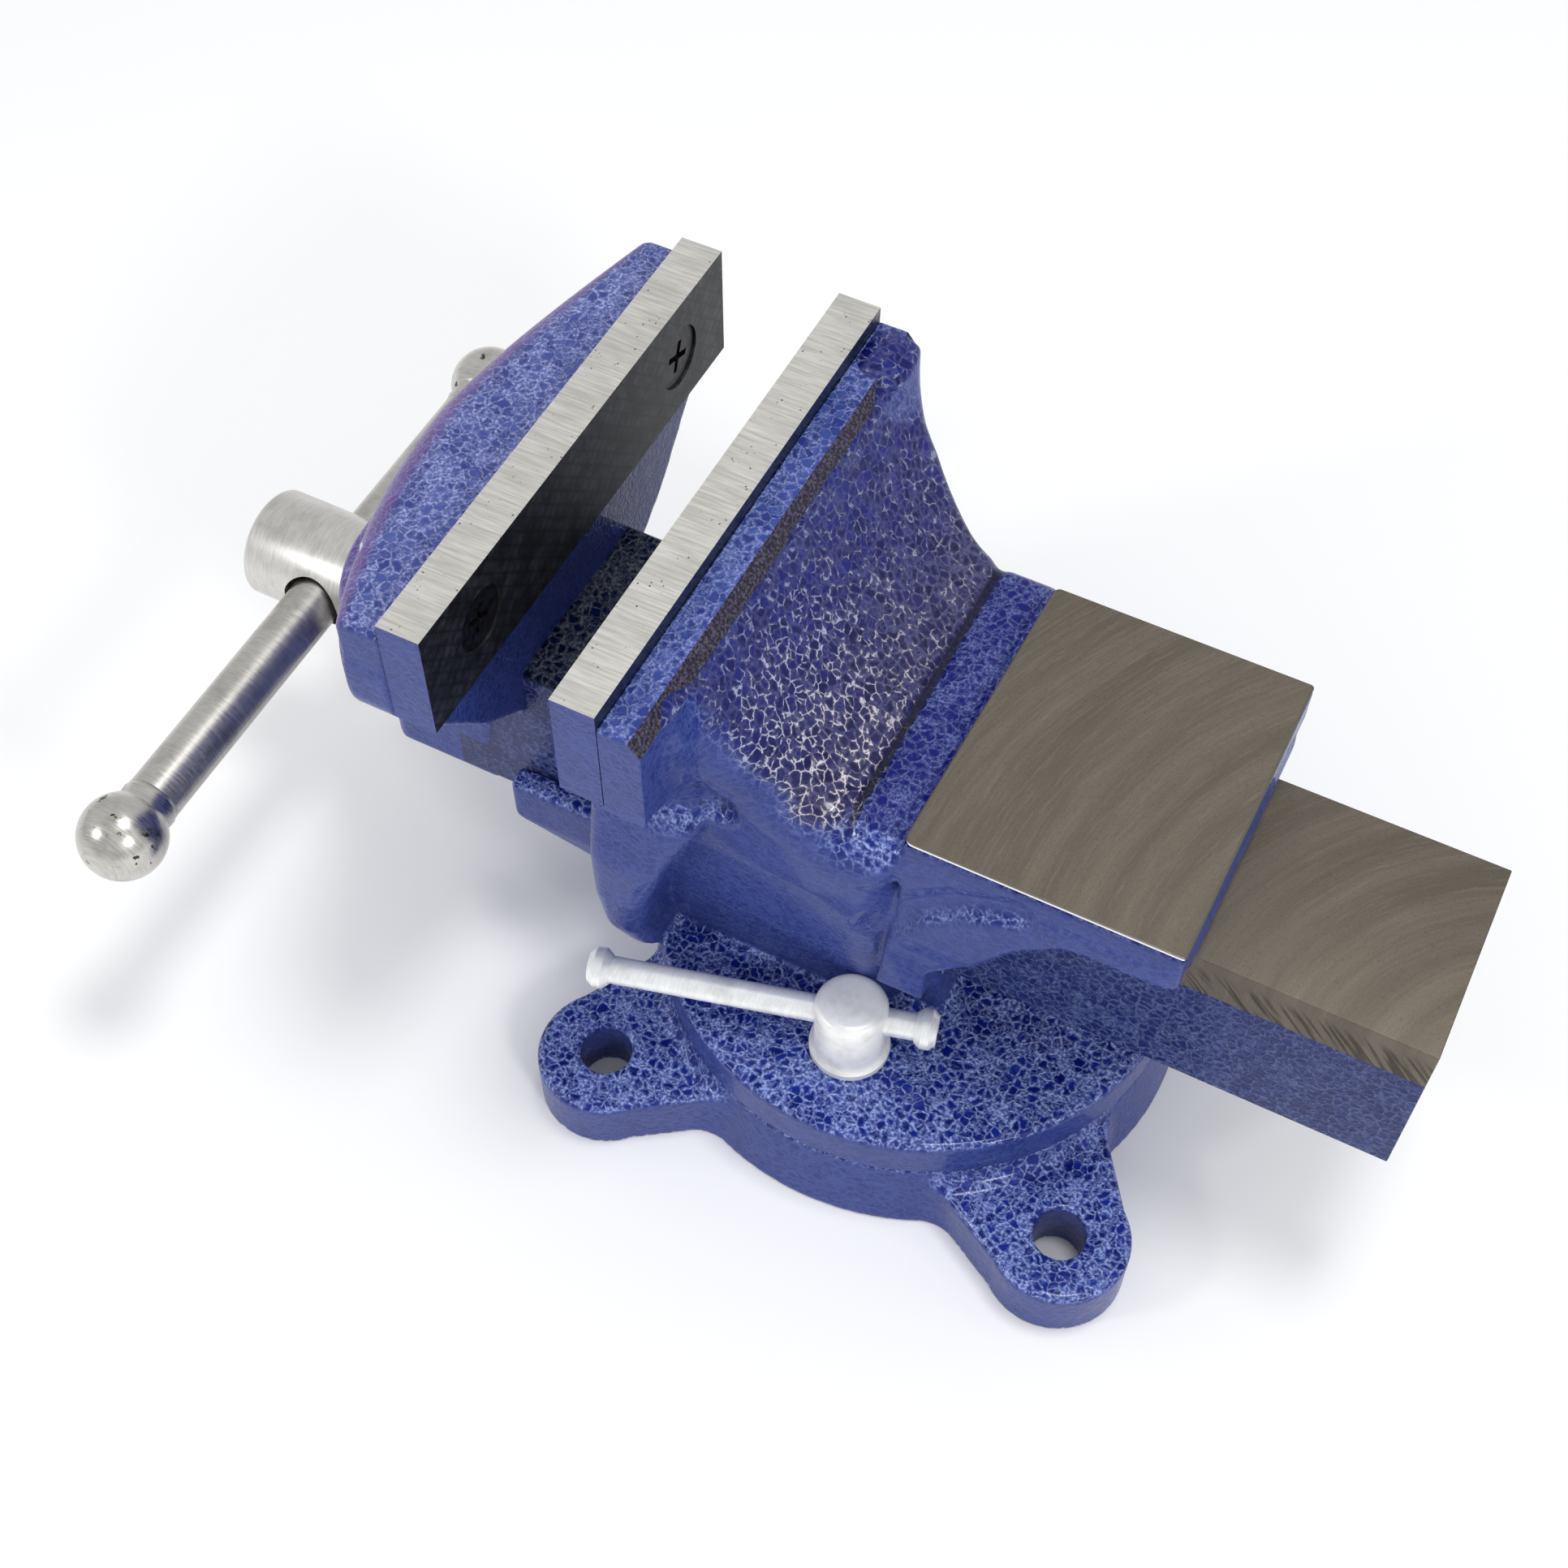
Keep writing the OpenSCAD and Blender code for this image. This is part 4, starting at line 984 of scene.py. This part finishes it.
by_face(slide, lambda c, n: int(is_milled(c, n)))
# The slide root's upward faces, between the jaws, get the shaded enamel: painted shade.
by_face(slide_root, lambda c, n: int(n[2] > 0.2))

# ---------------------------------------------------------------- floor, light and camera

bpy.ops.mesh.primitive_plane_add(size=8, location=(0, 0, 0))
floor = bpy.context.object
floor.name = "floor"
paper = Paint("paper")
soft = paper.noise(3, detail=2)
paper.set("Base Color", paper.mix(soft, (0.95, 0.95, 0.95, 1), (0.98, 0.98, 0.98, 1)))
paper.set("Roughness", 0.9)
coat(floor, paper.mat)

world = bpy.data.worlds.new("studio")
bpy.context.scene.world = world
world.use_nodes = True
world.node_tree.nodes["Background"].inputs["Color"].default_value = (0.97, 0.98, 1.0, 1)
world.node_tree.nodes["Background"].inputs["Strength"].default_value = 0.7
bpy.context.scene.view_settings.view_transform = "Standard"


def lamp(name, at, to, size, power):
    """A round white lamp that faces a point; places and size in metres, power in watts."""
    light = bpy.data.lights.new(name, "AREA")
    light.shape = "DISK"
    light.size = size
    light.energy = power
    obj = bpy.data.objects.new(name, light)
    bpy.context.scene.collection.objects.link(obj)
    obj.location = at
    obj.rotation_euler = (Vector(to) - Vector(at)).to_track_quat("-Z", "Y").to_euler()
    return obj


lamp("top", (0.15, 0.1, 1.35), (-0.03, 0, 0.08), 0.3, 5.0)
lamp("right", (0.85, -0.6, 0.85), (0, 0, 0.1), 0.22, 3.6)
lamp("left", (-0.85, -0.85, 0.8), (0, 0, 0.08), 0.2, 2.6)

camera = bpy.data.cameras.new("camera")
view = bpy.data.objects.new("camera", camera)
bpy.context.scene.collection.objects.link(view)
bpy.context.scene.camera = view
camera.sensor_width = 36
camera.lens = 51.39
eye = Vector((97.8, -271.4, 494.3)) * MM
ahead = Vector((-0.257, 0.513, -0.819)).normalized()
right = Vector((0.891, 0.454, 0.005)).normalized()
right = (right - ahead * right.dot(ahead)).normalized()
facing_ahead = Matrix((right, right.cross(ahead), -ahead)).transposed()
view.matrix_world = Matrix.Translation(eye) @ facing_ahead.to_4x4()
camera.clip_start = 0.01
